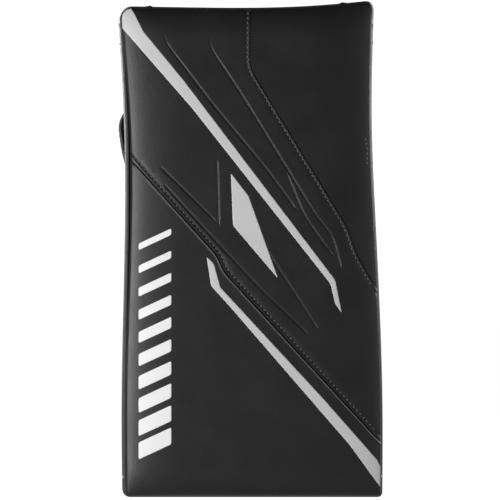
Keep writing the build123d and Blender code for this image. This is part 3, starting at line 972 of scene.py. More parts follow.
FOAM_GREY = leather("foam_grey", 0.05, 0.07, 0.9, specular=0.2, grain=2600.0)
BOARD_FOAM = leather("foam_white", (0.55, 0.55, 0.53), (0.62, 0.62, 0.60), 0.9, specular=0.2, grain=2600.0)
STIFFENER_PLASTIC = leather("stiffener_plastic", 0.02, 0.03, 0.4, grain=300.0)
GLOVE_FABRIC = woven("glove_fabric_black", 0.014, 0.04, thread=0.0009)
PALM_LEATHER = leather(
    "palm_leather_grey", 0.055, 0.085, 0.78, specular=0.25, relief=0.00008, sheen=0.35
)
PATCH_LEATHER = leather(
    "palm_patch_black", 0.018, 0.03, 0.7, specular=0.3, relief=0.00010, sheen=0.25
)
GUARD_LEATHER = leather("guard_leather_black", 0.012, 0.02, 0.42)
MESH_LINING = woven("lining_mesh", 0.02, 0.07, thread=0.0018, relief=0.0004)
WEBBING = woven("webbing_black", 0.012, 0.035, thread=0.0014, roughness=0.7)
LOOP_PILE = woven("loop_pile", 0.012, 0.03, thread=0.0009, sheen=0.25, relief=0.0004)
HOOK_PLASTIC = woven("hook_plastic_black", 0.01, 0.04, thread=0.0012, roughness=0.45)
TAB_RUBBER = leather("tab_rubber_black", 0.02, 0.028, 0.5, grain=2200.0)
PALE_THREAD = leather("thread_grey", 0.10, 0.14, 0.7, specular=0.3, grain=2500.0)
RIVET_STEEL, rivet_shader = new_material("rivet_steel", 0.32, 0.5, 1.0)
rivet_scratch = texture(RIVET_STEEL.node_tree, "ShaderNodeTexNoise", 700.0, Detail=3.0)
rivet_tone = mixed_colour(RIVET_STEEL.node_tree, rivet_scratch.outputs["Fac"], 0.42, 0.6)
RIVET_STEEL.node_tree.links.new(rivet_tone, rivet_shader.inputs["Base Color"])


def facing_back(depth, out=1):
    """Places a flat piece in a plane parallel to the face: u across, v up, w back from depth."""
    return lambda u, v, w: np.column_stack([u, depth + out * w, v])


def facing_side(across, out):
    """Places a flat piece in a plane square to the face: u back, v up, w to the left (-1) or the
    right (1)."""
    return lambda u, v, w: np.column_stack([across + out * w, u, v])


def along_path(path):
    """Places a piece that follows a path of (across, back) points: u along it, v up, w to its right."""
    path = np.asarray(path, float)
    travelled = run_along(path)
    right = beside(path, 1.0) - path

    def place(u, v, w):
        flat = point_at(path, travelled, u) + point_at(right, travelled, u) * w[:, None]
        return np.column_stack([flat, v])

    return place


def place_left(place):
    """The same placing with w turned to the path's left."""
    return lambda u, v, w: place(u, v, -w)


def rounded_box(us, vs, radius, step=3.0):
    """A closed loop round a rectangle with round corners."""
    corners = [(us[0], vs[0]), (us[0], vs[1]), (us[1], vs[1]), (us[1], vs[0])]
    return path_points(corners, step=step, radius=radius, closed=True)


def ripples(points, size, height):
    """Soft unevenness, as leather has over foam."""
    u, v = points[:, 0] / size, points[:, 1] / size
    waves = np.sin(2.1 * u + 1.3 * v) + np.sin(1.7 * v - 2.9 * u + 1.0) + np.sin(4.3 * u + 3.1 * v + 2.0)
    return height * waves / 3


def loop_area(loop):
    """The area inside a closed loop."""
    turning = np.roll(loop, -1, 0)
    return abs(np.sum(loop[:, 0] * turning[:, 1] - turning[:, 0] * loop[:, 1])) / 2


class Pad:
    """A closed pad or sheet: its loop in (u, v), and its outer and inner surfaces as w."""

    def __init__(
        self, loop, place, outer, inner, roll=3.0, rim=0.4, crown=0.0, holes=(), channels=(), dip=1.5,
        dip_width=2.2, uneven=0.0,
    ):
        self.loop, self.place, self.holes, self.channels = loop, place, holes, channels
        self.outer, self.inner, self.roll, self.rim, self.crown = outer, inner, roll, rim, crown
        self.dip, self.dip_width, self.uneven = dip, dip_width, uneven

    def edge(self, points):
        """How far points lie in from the pad's edges."""
        loops = (self.loop, *self.holes)
        return np.min([np.abs(side_distance(points, loop, closed=True)) for loop in loops], 0)

    def sides(self, points):
        """w of the pad's outer and inner planes, before its edges are rolled."""
        return [w(points) if callable(w) else np.full(len(points), w) for w in (self.outer, self.inner)]

    def surface(self, points, side):
        """w on the outer (1) or inner (-1) surface."""
        outer, inner = self.sides(points)
        away = self.edge(points)
        share = quarter_round(away / self.roll)
        middle, half = (outer + inner) / 2, (outer - inner) / 2
        if side < 0:
            return middle - half * (self.rim + (1 - self.rim) * share)
        top = middle + half * (self.rim + (1 - self.rim) * share)
        top += self.crown * (1 - np.exp(-away / (2.5 * self.roll)))
        top += ripples(points, 16.0, self.uneven) * share
        for channel in self.channels:
            top -= self.dip * share * np.exp(-(side_distance(points, channel) / self.dip_width) ** 2)
        return np.maximum(top, middle - half * self.rim * 0.5)

    def on_top(self, path, proud=0.0):
        """A (u, v) path laid on the outer surface, in the board's frame."""
        path = np.asarray(path, float)
        return self.place(*path.T, self.surface(path, 1) + proud)

    def cut(self):
        width, length = (self.loop.max(0) - self.loop.min(0)) * MM
        area = (loop_area(self.loop) - sum(loop_area(hole) for hole in self.holes)) * MM**2
        return {"flat": (width, length), "area": min(area, width * length)}

    def inset(self, distance):
        """The pad's loop drawn in."""
        turning = np.roll(self.loop, -1, 0)
        area = np.sum(self.loop[:, 0] * turning[:, 1] - turning[:, 0] * self.loop[:, 1])
        return beside(self.loop, -distance if area > 0 else distance, closed=True)

    def build(self, name, body, material, slot, node=None, spacing=4.0):
        """The pad as a piece."""
        rolls = [self.roll * share for share in (0.1, 0.3, 0.6, 1.0)]
        loops = [self.loop, *self.holes] + [self.inset(d) for d in rolls]
        for hole in self.holes:
            loops += [beside(hole, side * d, closed=True) for d in rolls for side in (-1, 1)]
        lines = []
        for channel in self.channels:
            offsets = [sign * share * self.dip_width for sign in (-1, 1) for share in (0.3, 1.0)]
            lines += [beside(channel, d) for d in offsets]
        low, high = self.loop.min(0), self.loop.max(0)
        points, triangles = triangulate(lines, loops, spacing, low, high)
        middle = points[triangles].mean(1)
        kept = inside_loop(middle, self.loop)
        for hole in self.holes:
            kept &= ~inside_loop(middle, hole)
        points, triangles = used_part(points, triangles[kept])
        solid = np.vstack([self.place(*points.T, self.surface(points, side)) for side in (1, -1)])
        piece = make_piece(name, solid, shell_faces(triangles, len(points)), body, material, slot)
        outwards(piece)
        if node:
            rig.replaces(piece, node)
        return piece

    def sew(self, name, body, slot, paths, pitch=4.2, radius=0.42, proud=0.15):
        """A piece with the stitches along (u, v) paths on the outer surface."""
        rows = []
        for path in paths:
            rows += stitches(self.on_top(path, proud), pitch, share=0.68, radius=radius)
        make_piece(name, *joined(rows), body, PALE_THREAD, slot)

    def bind(self, name, body, slot, radius, lift=0.0):
        """A piece with the bound edge round the pad's rim."""
        centre = self.place(*self.loop.T, sum(self.sides(self.loop)) / 2 + lift)
        bead = tube(centre, radius, sides=8, closed=True, first=(0.3, 0.8, 0.5))
        make_piece(name, *bead, body, BINDING, slot)


def outwards(piece):
    """Turns a closed mesh's faces so that they all look outwards."""
    mesh = bmesh.new()
    mesh.from_mesh(piece.data)
    bmesh.ops.recalc_face_normals(mesh, faces=mesh.faces)
    mesh.to_mesh(piece.data)
    mesh.free()
    piece.data.polygons.foreach_set("use_smooth", [True] * len(piece.data.polygons))


def closed_path(loop):
    """A loop with its first point again at its end."""
    return np.vstack([loop, loop[:1]])


HEM_INSET = 2.0
HEM_WIDTH = 13.0


def build_back():
    """The nylon back of the board with its turned hem."""
    liner = Pad(outline_loop(2.2), facing_back(BOARD_DEPTH - 1.5), 1.5, 0.0, roll=1.2, rim=0.5, uneven=0.25)
    piece = liner.build("back_liner_nylon", "board", LINER_NYLON, "liner", "back_liner", spacing=6.0)
    hem = Pad(
        outline_loop(HEM_INSET), facing_back(BOARD_DEPTH - 0.6), 1.3, 0.0, roll=0.9,
        holes=[outline_loop(HEM_INSET + HEM_WIDTH)],
    )
    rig.sheet(piece, held="stretched", rests_on=["foam_core"], **liner.cut())
    band = hem.build("back_hem", "board", FACE_LEATHER, "face_leather", spacing=6.0)
    band_width = HEM_WIDTH * MM
    band_area = (loop_area(hem.loop) - loop_area(hem.holes[0])) * MM**2
    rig.sheet(band, flat=(band_width, band_area / band_width), held="laid", rests_on=["back_liner_nylon"])
    rows = [closed_path(outline_loop(inset)) for inset in (12.6, 5.0)]
    hem.sew("back_hem_stitches", "board", "face_leather", rows)


# A wrap's section, as (outward, depth), and how far its fold stands up.
WRAP_SECTION = [
    (-0.6, 9.0), (0.2, 9.2), (0.7, 10.5), (1.1, 16.0), (1.3, 22.0), (1.2, 29.0), (0.9, 34.4), (0.3, 35.4),
    (-0.6, 35.2), (-0.8, 22.0),
]
WRAP_FOLD = 1.0


def build_corner_wraps():
    """The folded wraps over the two top corners, with a fold that stands up at each one's top end."""
    loop = outline_loop(0.0, step=1.5)
    below_top = top_at(loop[:, 0]) - loop[:, 1]
    for node, chosen in (
        ("corner_wrap_left", (loop[:, 0] < -76.0) & (below_top < 34.0)),
        ("corner_wrap_right", (loop[:, 0] > 68.0) & (below_top < 38.0)),
    ):
        run = loop[chosen]
        travelled = run_along(run)
        top_end = travelled[-1] if node == "corner_wrap_left" else 0.0
        fold = WRAP_FOLD * np.exp(-((np.abs(travelled - top_end) - 3.0) / 1.8) ** 2)
        band = edge_band(run, WRAP_SECTION, fold)
        piece = make_piece(node + "_leather", *band, "board", FACE_LEATHER, "face_leather")
        outwards(piece)
        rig.replaces(piece, node)
        outward = run - beside(run, 1.0)
        rows = []
        for start in (5.5, travelled[-1] - 5.5):
            x, z = point_at(run + 1.3 * outward, travelled, start)
            rows += stitches([(x, 11.0, z), (x, 35.0, z)], pitch=4.0, share=0.65, radius=0.4)
        make_piece(node + "_stitches", *joined(rows), "board", PALE_THREAD, "face_leather")


# ---------------------------------------------------------------- the glove

FINGER_RADIUS = 11.2
FINGER_TIP_RADIUS = 10.2
FINGER_WALL = 2.0
KNUCKLE_Y, KNUCKLE_Z = 76.0, 290.0
BASE_TILT = math.radians(30.0)
# Each finger's place across, and how long its base and its tip are.
FINGERS = {
    "index": (-46.0, 44.0, 38.0),
    "middle": (-22.0, 48.0, 42.0),
    "ring": (2.0, 45.0, 39.0),
    "little": (26.0, 38.0, 32.0),
}
# A sleeve's half width and half depth at its foot, how much wider its top is, and the top's half depth.
SLEEVE_ACROSS, SLEEVE_DEEP = 11.2, 16.5
SLEEVE_WIDENS = 0.9
SLEEVE_TOP_DEEP = 12.1
SLEEVE_WALL = 1.2
SEAM_PITCH = 3.4
POCKET_LEFT, POCKET_RIGHT = -58.0, 38.0
PALM_BACK = 94.5
PALM_BOTTOM, PALM_TOP = 192.0, 276.0
THUMB_ROOT = np.array([-74.5, 80.0, 216.0])
THUMB_TILT = math.radians(25.5)
THUMB_LENGTH = 62.0
THUMB_HOLE_RADIUS = 11.5
GUARD_RADIUS = 13.4
GUARD_MIDDLE = GUARD_RADIUS + 4.0
# How far round the thumb its guard reaches, in degrees.
GUARD_FROM, GUARD_TO = -33.0, 92.0
# The index guard's outer side, as (height, across).
GUARD_LINE = [
    (238, -92.0), (254, -98.0), (270, -102.0), (283, -103.9), (295, -103.2), (303, -98.5), (320, -95.5),
    (342, -94.0),
]

# How far across the inner side of the index guard's foam lies.
INDEX_FOAM_INNER = -84.0


def bump(value, middle, width):
    """A smooth bump, 1 at its middle."""
    return np.exp(-((value - middle) / width) ** 2)


def hose(centres, across, deep, wall, power=2.0, relief=None, sides=36, end=True, first=(1.0, 0.0, 0.0)):
    """A hollow tube of rounded sections along centres, open at its start, and closed at its end by
    a dome when end is true. across and deep are its half widths. relief(travelled, angle) adds to it."""
    centres = np.asarray(centres, float)
    count = len(centres)
    across, deep, power = (np.broadcast_to(value, count) for value in (across, deep, power))
    along, side = carried_sides(centres, first=first)
    up = np.cross(along, side)
    travelled = run_along(centres)
    angles = np.linspace(0, 2 * math.pi, sides, endpoint=False)

    def section(i, shrink, dome, forward):
        c, s = np.cos(angles), np.sin(angles)
        extra = relief(travelled[i], angles) if relief is not None and shrink == 0 else np.zeros(sides)
        wide = (across[i] - shrink + extra) * dome
        tall = (deep[i] - shrink + extra) * dome
        x = wide * np.sign(c) * np.abs(c) ** (2 / power[i])
        y = tall * np.sign(s) * np.abs(s) ** (2 / power[i])
        return centres[i] + forward * along[i] + x[:, None] * side[i] + y[:, None] * up[i]

    def wall_rings(shrink):
        rings = [section(i, shrink, 1.0, 0.0) for i in range(count)]
        if end:
            radius = (across[-1] + deep[-1]) / 2 - shrink
            for turn in np.radians([12, 25, 38, 51, 64, 76, 85]):
                rings.append(section(count - 1, shrink, math.cos(turn), radius * math.sin(turn)))
        return rings

    outer, inner = wall_rings(0.0), wall_rings(wall)
    size = len(outer)
    pairs = [(i, i + 1) for i in range(2 * size - 1) if i != size - 1] + [(0, size)]
    if not end:
        pairs.append((size - 1, 2 * size - 1))
    faces = [quad for pair in pairs for quad in ring_to_ring(*pair, sides)]
    if end:
        faces += [ring(size - 1, sides), ring(2 * size - 1, sides)]
    return np.vstack(outer + inner), faces


def bent_centres(start, corner, finish, cut, step=1.6):
    """Points from start to finish, turning smoothly about the corner."""
    start, corner, finish = (np.array(p, float) for p in (start, corner, finish))
    first = corner + (start - corner) / np.linalg.norm(start - corner) * cut
    last = corner + (finish - corner) / np.linalg.norm(finish - corner) * cut
    turn = np.linspace(0, 1, 24)[:, None]
    curve = (1 - turn) ** 2 * first + 2 * turn * (1 - turn) * corner + turn**2 * last
    rough = np.array([start, *curve, finish])
    travelled = run_along(rough)
    return point_at(rough, travelled, np.linspace(0, travelled[-1], int(travelled[-1] / step)))


def build_finger(finger):
    """One finger: a leather sleeve over its knuckle, and a stall that bends at the middle joint."""
    x, base_length, tip_length = FINGERS[finger]
    base_way = np.array([0.0, math.sin(BASE_TILT), math.cos(BASE_TILT)])
    tip_way = np.array([0.0, 1.0, 0.0])
    root = np.array([x, KNUCKLE_Y, KNUCKLE_Z])
    middle = root + base_length * base_way
    centres = bent_centres(root + 2 * base_way, middle, middle + tip_length * tip_way, 13.0)
    share = np.linspace(0, 1, len(centres))
    radii = FINGER_RADIUS + (FINGER_TIP_RADIUS - FINGER_RADIUS) * share
    bend_at = base_length - 3.0
    length = path_length(centres)

    def relief(travelled, angles):
        back_side = np.clip(-np.sin(angles), 0, 1)
        palm_side = np.clip(np.sin(angles), 0, 1)
        seams = 0.4 * sum(bump(angles, spot, 0.10) for spot in (0.0, math.pi, 2 * math.pi))
        rolls = sum(bump(travelled, bend_at + d, 1.3) for d in (-17, -5.5, 5.5, 17))
        rolls = rolls + bump(travelled, length - 9, 1.3)
        creases = sum(bump(travelled, bend_at + d, 0.9) for d in (-4, 0, 4))
        return seams - 1.1 * rolls * back_side - 0.7 * creases * palm_side + 0.5 * back_side

    stall = make_piece(
        finger + "_stall", *hose(centres, radii, radii, FINGER_WALL, relief=relief), None, PALM_LEATHER,
        "glove_fabric",
    )
    outwards(stall)
    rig.replaces(stall, finger + "_finger_base", finger + "_finger_tip")
    blend_start = Vector(to_row(middle - 10 * base_way))
    blend_end = Vector(to_row(middle + 10 * tip_way))
    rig.blend(stall, finger + "_base", finger + "_tip", blend_start, blend_end)

    rows = []
    travelled = run_along(centres)
    for side in (-1, 1):
        beside_stall = centres + np.outer(side * (radii + 0.35), [1.0, 0.0, 0.0])
        for k in range(4, int(length / SEAM_PITCH)):
            ends = point_at(beside_stall, travelled, [SEAM_PITCH * k, SEAM_PITCH * (k + 0.62)])
            rows.append(stitch(*ends, radius=0.35))
    seams = make_piece(finger + "_stitches", *joined(rows), None, PALE_THREAD, "glove_fabric")
    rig.blend(seams, finger + "_base", finger + "_tip", blend_start, blend_end)

    foot = np.array([x, KNUCKLE_Y + 0.5, PALM_TOP - 11.0])
    sleeve_centres = bent_centres(foot, root - [0, 0, 3], root + 15 * base_way, 8.0, step=1.3)
    up_it = np.clip((sleeve_centres[:, 2] - (PALM_TOP - 6)) / 18.0, 0, 1)
    eased = up_it * up_it * (3 - 2 * up_it)
    across = SLEEVE_ACROSS + SLEEVE_WIDENS * eased
    deep = SLEEVE_DEEP + (SLEEVE_TOP_DEEP - SLEEVE_DEEP) * eased
    power = 2.4 - 0.4 * eased

    def folds(travelled, angles):
        return 0.45 * np.sin(travelled * 1.15) * np.abs(np.sin(angles)) ** 0.5 - 0.2

    parts = hose(sleeve_centres, across, deep, SLEEVE_WALL, power, relief=folds, sides=44, end=False)
    sleeve = make_piece(finger + "_sleeve", *parts, None, GLOVE_FABRIC, "glove_fabric")
    outwards(sleeve)
    sleeve_start = Vector(to_row(foot + [0, 0, 10]))
    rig.blend(sleeve, "board", finger + "_base", sleeve_start, Vector(to_row(root + 10 * base_way)))
    sleeve_round = math.pi * (np.mean(across) + np.mean(deep))
    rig.sheet(sleeve, flat=(sleeve_round * MM, path_length(sleeve_centres) * MM), held="gathered")


def build_palm():
    """The palm that closes round the hand, its patch, and the pads on the back of the hand."""
    left, right, back = POCKET_LEFT - 1.25, POCKET_RIGHT + 1.25, PALM_BACK + 1.25
    corners = [(right, BOARD_DEPTH), (right, back), (left, back), (left, BOARD_DEPTH)]
    path = path_points(corners[::-1], step=1.5, radius=15.0)
    place = along_path(path)
    long = path_length(path)
    turns = np.linspace(0, -2 * math.pi, 24, endpoint=False)
    hole_at = np.array([THUMB_ROOT[1] - BOARD_DEPTH, THUMB_ROOT[2] - 1])
    rim = [hole_at + THUMB_HOLE_RADIUS * np.array([math.cos(a), math.sin(a)]) for a in turns]
    hole = path_points(rim, step=2.0, closed=True)
    palm = Pad(
        rounded_box((0.2, long - 0.2), (PALM_BOTTOM, PALM_TOP), 3.0), place_left(place), 1.3, -1.2,
        roll=1.2, rim=0.6, uneven=0.5, holes=[hole],
    )
    piece = palm.build("palm_leather", "board", PALM_LEATHER, "palm_leather", "palm_shell", spacing=3.5)
    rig.sheet(piece, held="stretched", rests_on=["back_liner_nylon"], **palm.cut())
    hems = [path_points([(2, z), (long - 2, z)], step=2.0) for z in (PALM_BOTTOM + 3.0, PALM_TOP - 3.0)]
    palm.sew("palm_stitches", "board", "palm_leather", hems)

    patch_loop = path_points(
        [(-42, 206), (-38, 262), (-28, 268), (12, 268), (24, 256), (24, 212), (14, 200), (-36, 200)],
        step=2.5, radius=7.0, closed=True,
    )
    middle_line = path_points([(-30, 214), (-8, 236), (12, 262)], step=2.5, radius=20.0)
    patch = Pad(
        patch_loop, facing_back(PALM_BACK + 2.2), 1.7, 0.0, roll=1.3, rim=0.3, uneven=0.35,
        channels=[middle_line], dip=0.9, dip_width=1.3,
    )
    piece = patch.build(
        "palm_patch_leather", "board", PATCH_LEATHER, "palm_patch_leather", "palm_patch", spacing=3.5
    )
    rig.sheet(piece, held="laid", rests_on=["palm_leather"], **patch.cut())
    rows = [closed_path(patch.inset(2.6)), beside(middle_line, 2.2), beside(middle_line, -2.2)]
    patch.sew("palm_patch_stitches", "board", "palm_patch_leather", rows)

    across = [path_points([(-55, z), (35, z)], step=3.0) for z in (216, 236, 256)]
    backhand = Pad(
        rounded_box((-56.5, 36.5), (196, 277), 8.0), facing_back(BOARD_DEPTH), 15.0, 0.0, roll=8.0, rim=0.25,
        crown=2.5, channels=across, dip=3.0, dip_width=3.0,
    )
    piece = backhand.build("backhand_cushion", "board", MESH_LINING, "glove_fabric", "backhand_pad")
    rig.padded(piece, fill=0.7)

    knuckles = [path_points([(x, 279), (x, 317)], step=3.0) for x in (-34.0, -10.0, 14.0)]
    roll = Pad(
        rounded_box((-58.5, 38.5), (278, 318), 12.0), facing_back(BOARD_DEPTH), 21.0, 0.0, roll=13.0, rim=0.2,
        crown=2.0, channels=knuckles, dip=3.5, dip_width=2.6,
    )
    piece = roll.build("knuckle_cushion", "board", GUARD_LEATHER, "glove_fabric", "knuckle_roll", spacing=3.5)
    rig.padded(piece, fill=0.8)
    rows = [beside(knuckle[3:-3], d) for knuckle in knuckles for d in (-3.2, 3.2)]
    roll.sew("knuckle_stitches", "board", "glove_fabric", rows)


def build_thumb():
    """The thumb's stall, which runs out of the palm's side and up, and its padded guard."""
    way = np.array([0.0, math.sin(THUMB_TILT), math.cos(THUMB_TILT)])
    palm_side = np.array([0.0, math.cos(THUMB_TILT), -math.sin(THUMB_TILT)])
    start = THUMB_ROOT + [18.0, 0.0, -1.0]
    centres = bent_centres(start, THUMB_ROOT - 1.0 * way, THUMB_ROOT + THUMB_LENGTH * way, 12.0)
    travelled = np.linspace(0, path_length(centres), len(centres))
    radii = np.interp(travelled, [0, 14, 60, travelled[-1]], [12.6, 12.4, 12.0, 11.4])

    def relief(distance, angles):
        creases = sum(bump(distance, spot, 1.4) for spot in (9, 14, 19, 46, 51))
        seams = sum(bump(angles, spot, 0.1) for spot in (0.5 * math.pi, 1.5 * math.pi))
        return 0.45 * seams - 0.6 * creases

    parts = hose(centres, radii, radii, FINGER_WALL, relief=relief, first=(0.0, 1.0, 0.0))
    thumb = make_piece("thumb_leather", *parts, None, PALM_LEATHER, "glove_fabric")
    outwards(thumb)
    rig.replaces(thumb, "thumb_stall")
    blend_start = Vector(to_row(THUMB_ROOT + [15.5, 0, -1]))
    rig.blend(thumb, "board", "thumb", blend_start, Vector(to_row(THUMB_ROOT + [6.0, 0, 1])))

    def place(u, v, w):
        radius = GUARD_RADIUS + w
        turn = u / GUARD_MIDDLE
        over = np.clip((v - THUMB_LENGTH) / GUARD_MIDDLE, 0, 1.4)
        radial = np.cos(turn)[:, None] * palm_side + np.sin(turn)[:, None] * np.array([-1.0, 0.0, 0.0])
        forward = np.minimum(v, THUMB_LENGTH) + radius * np.sin(over)
        return THUMB_ROOT + forward[:, None] * way + (radius * np.cos(over))[:, None] * radial

    lowest, highest = (math.radians(turn) * GUARD_MIDDLE for turn in (GUARD_FROM, GUARD_TO))
    top = THUMB_LENGTH + 16
    corners = [(lowest, 14), (lowest, top), (highest, top), (highest, 8), (highest * 0.4, 2)]
    loop = path_points(corners, step=2.5, radius=8.0, closed=True)
    foam = Pad(loop, place, 6.0, 0.0, roll=2.0, rim=0.5)
    piece = foam.build("thumb_guard_padding", "thumb", FOAM_GREY, "foam", "thumb_guard_foam")
    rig.padded(piece, fill=0.9)
    bands = [path_points([(lowest + 1, z), (highest - 1, z)], step=2.5) for z in (24.0, 42.0, 60.0)]
    shell = Pad(loop, place, 9.0, 6.2, roll=2.4, rim=0.3, channels=bands, dip=1.1, dip_width=1.5, uneven=0.2)
    shell.build(
        "thumb_guard_leather", "thumb", GUARD_LEATHER, "guard_leather", "thumb_guard_shell", spacing=3.0
    )
    shell.sew("thumb_guard_stitches", "thumb", "guard_leather", [closed_path(shell.inset(3.2))])
    shell.bind("thumb_guard_edge", "thumb", "guard_leather", 1.3, lift=-1.2)


def build_index_guard():
    """The guard beside the index finger, which stands out past the board's left edge."""
    guard_at = curve_through(GUARD_LINE)
    corners = [(38.5, 239), (38.5, 341), (72, 341), (87, 326), (87, 292), (60, 239)]
    loop = path_points(corners, step=2.5, radius=9.0, closed=True)

    def place(u, v, w):
        back = np.clip((u - 60) / 28, 0, 1)
        return np.column_stack([guard_at(v) + 1.6 * back**2 - w, u, v])

    panel_line = path_points([(40, 262), (60, 262), (85, 306)], step=2.5, radius=12.0)
    shell = Pad(loop, place, 0.0, -3.5, roll=3.0, rim=0.3, channels=[panel_line], dip=1.3, dip_width=1.8)
    shell.build(
        "index_guard_leather", "board", GUARD_LEATHER, "guard_leather", "index_guard_shell", spacing=3.0
    )
    rows = [closed_path(shell.inset(4.2)), beside(panel_line[2:-2], 2.8)]
    shell.sew("index_guard_stitches", "board", "guard_leather", rows, radius=0.3, proud=-0.1)
    shell.bind("index_guard_edge", "board", "guard_leather", 1.5)

    def foam_back(points):
        return guard_at(points[:, 1]) - INDEX_FOAM_INNER

    foam = Pad(shell.inset(1.2), place, -3.6, foam_back, roll=3.0, rim=0.6)
    piece = foam.build("index_guard_padding", "board", FOAM_GREY, "foam", "index_guard_foam")
    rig.padded(piece, fill=0.9)
    plate = Pad(rounded_box((-86, -66), (244, 340), 4.0), facing_back(BOARD_DEPTH), 2.2, 0.2, roll=1.0)
    plate.build("index_guard_plate", "board", GUARD_LEATHER, "guard_leather", spacing=5.0)
    depths = [37.0, 40.2, 40.3, 40.9, 41.5, 41.9, 42.0]
    radii = [2.0, 2.0, 4.2, 4.1, 3.2, 1.6, 0.4]
    heads = [
        tube([(-73.0, depth, height) for depth in depths], radii, sides=20, first=(1.0, 0.0, 0.0))
        for height in (252.0, 280.0, 308.0, 334.0)
    ]
    piece = make_piece("guard_rivet_heads", *joined(heads), "board", RIVET_STEEL, "rivet_metal")
    outwards(piece)
    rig.replaces(piece, "guard_rivets")


def build_cuff():
    """The cuff: the pad behind the wrist, two wings, and the flap that closes over them."""
    channels = [path_points([(-54, z), (34, z)], step=3.0) for z in (92.0, 124.0, 156.0)]
    wrist = Pad(
        rounded_box((-55.0, 35.0), (60, 188), 9.0), facing_back(BOARD_DEPTH), 11.0, 0.0, roll=7.0, rim=0.25,
        crown=2.5, channels=channels, dip=2.6, dip_width=2.8,
    )
    piece = wrist.build("cuff_back_cushion", "board", MESH_LINING, "glove_fabric", "cuff_back_pad")
    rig.padded(piece, fill=0.7)
    for name, across, out in (("left", -60.5, -1), ("right", 40.5, 1)):
        corners = [(38.3, 60), (38.3, 188), (86, 188), (95, 180), (95, 70), (84, 60)]
        loop = path_points(corners, step=3.0, radius=7.0, closed=True)
        line = path_points([(54, 62), (54, 186)], step=3.0)
        wing = Pad(
            loop, facing_side(across, out), 3.6, -3.6, roll=4.2, rim=0.25, crown=0.8, channels=[line],
            dip=1.6, uneven=0.3,
        )
        piece = wing.build("cuff_side_" + name, "board", GUARD_LEATHER, "guard_leather", "cuff_wing_" + name)
        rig.padded(piece, fill=0.8)
        wing.bind("cuff_side_edge_" + name, "board", "guard_leather", 1.5)
        rows = [closed_path(wing.inset(5.0)), beside(line[2:-2], 3.0)]
        wing.sew("cuff_side_stitches_" + name, "board", "guard_leather", rows)

    corners = [(41, 75), (41, 175), (-46, 175), (-57, 164), (-57, 86), (-46, 75)]
    loop = path_points(corners, step=3.0, radius=8.0, closed=True)
    flap = Pad(loop, facing_back(99.5), 3.0, -3.2, roll=3.6, rim=0.25, crown=0.4, uneven=0.25)
    piece = flap.build("cuff_flap_leather", "cuff_flap", GUARD_LEATHER, "guard_leather", "cuff_flap")
    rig.padded(piece, fill=0.8)
    flap.bind("cuff_flap_edge", "cuff_flap", "guard_leather", 1.4)
    flap.sew("cuff_flap_stitches", "cuff_flap", "guard_leather", [closed_path(flap.inset(4.6))])
    lines = [path_points([(-50, z), (28, z)], step=3.0) for z in (110.0, 140.0)]
    lining = Pad(
        rounded_box((-51.5, 29.5), (79.5, 170.5), 7.0), facing_back(96.2, -1), 3.6, 0.0, roll=3.0, rim=0.3,
        crown=0.5, channels=lines, dip=1.6,
    )
    piece = lining.build("cuff_flap_lining", "cuff_flap", MESH_LINING, "glove_fabric", "cuff_flap_pad")
    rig.padded(piece, fill=0.6)

    hinge_path = path_points([(45.6, 78), (45.6, 99), (40, 103.9), (27, 103.9)], step=1.5, radius=4.0)
    long = path_length(hinge_path)
    hinge = Pad(
        rounded_box((0.2, long - 0.2), (84, 166), 3.0), along_path(hinge_path[::-1]), 0.9, -0.3, roll=0.8,
        uneven=0.1,
    )
    piece = hinge.build("cuff_hinge", None, WEBBING, "webbing", spacing=3.0)
    width = (long - 0.4) * MM
    rests_on = ["cuff_side_right", "cuff_flap_leather"]
    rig.sheet(piece, flat=(width, 82 * MM), held="stretched", rests_on=rests_on)
    start, end = (Vector(to_row(spot)) for spot in ((45.6, 92.0, 125), (41.0, 103.9, 125)))
    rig.blend(piece, "board", "cuff_flap", start, end)


STRAP_LOW, STRAP_HIGH = 108.0, 146.0
STRAP_WIDTH = STRAP_HIGH - STRAP_LOW
STRAP_SEAM_INSET = 2.6
BASE_LEFT, BASE_RIGHT = -40.0, 34.0


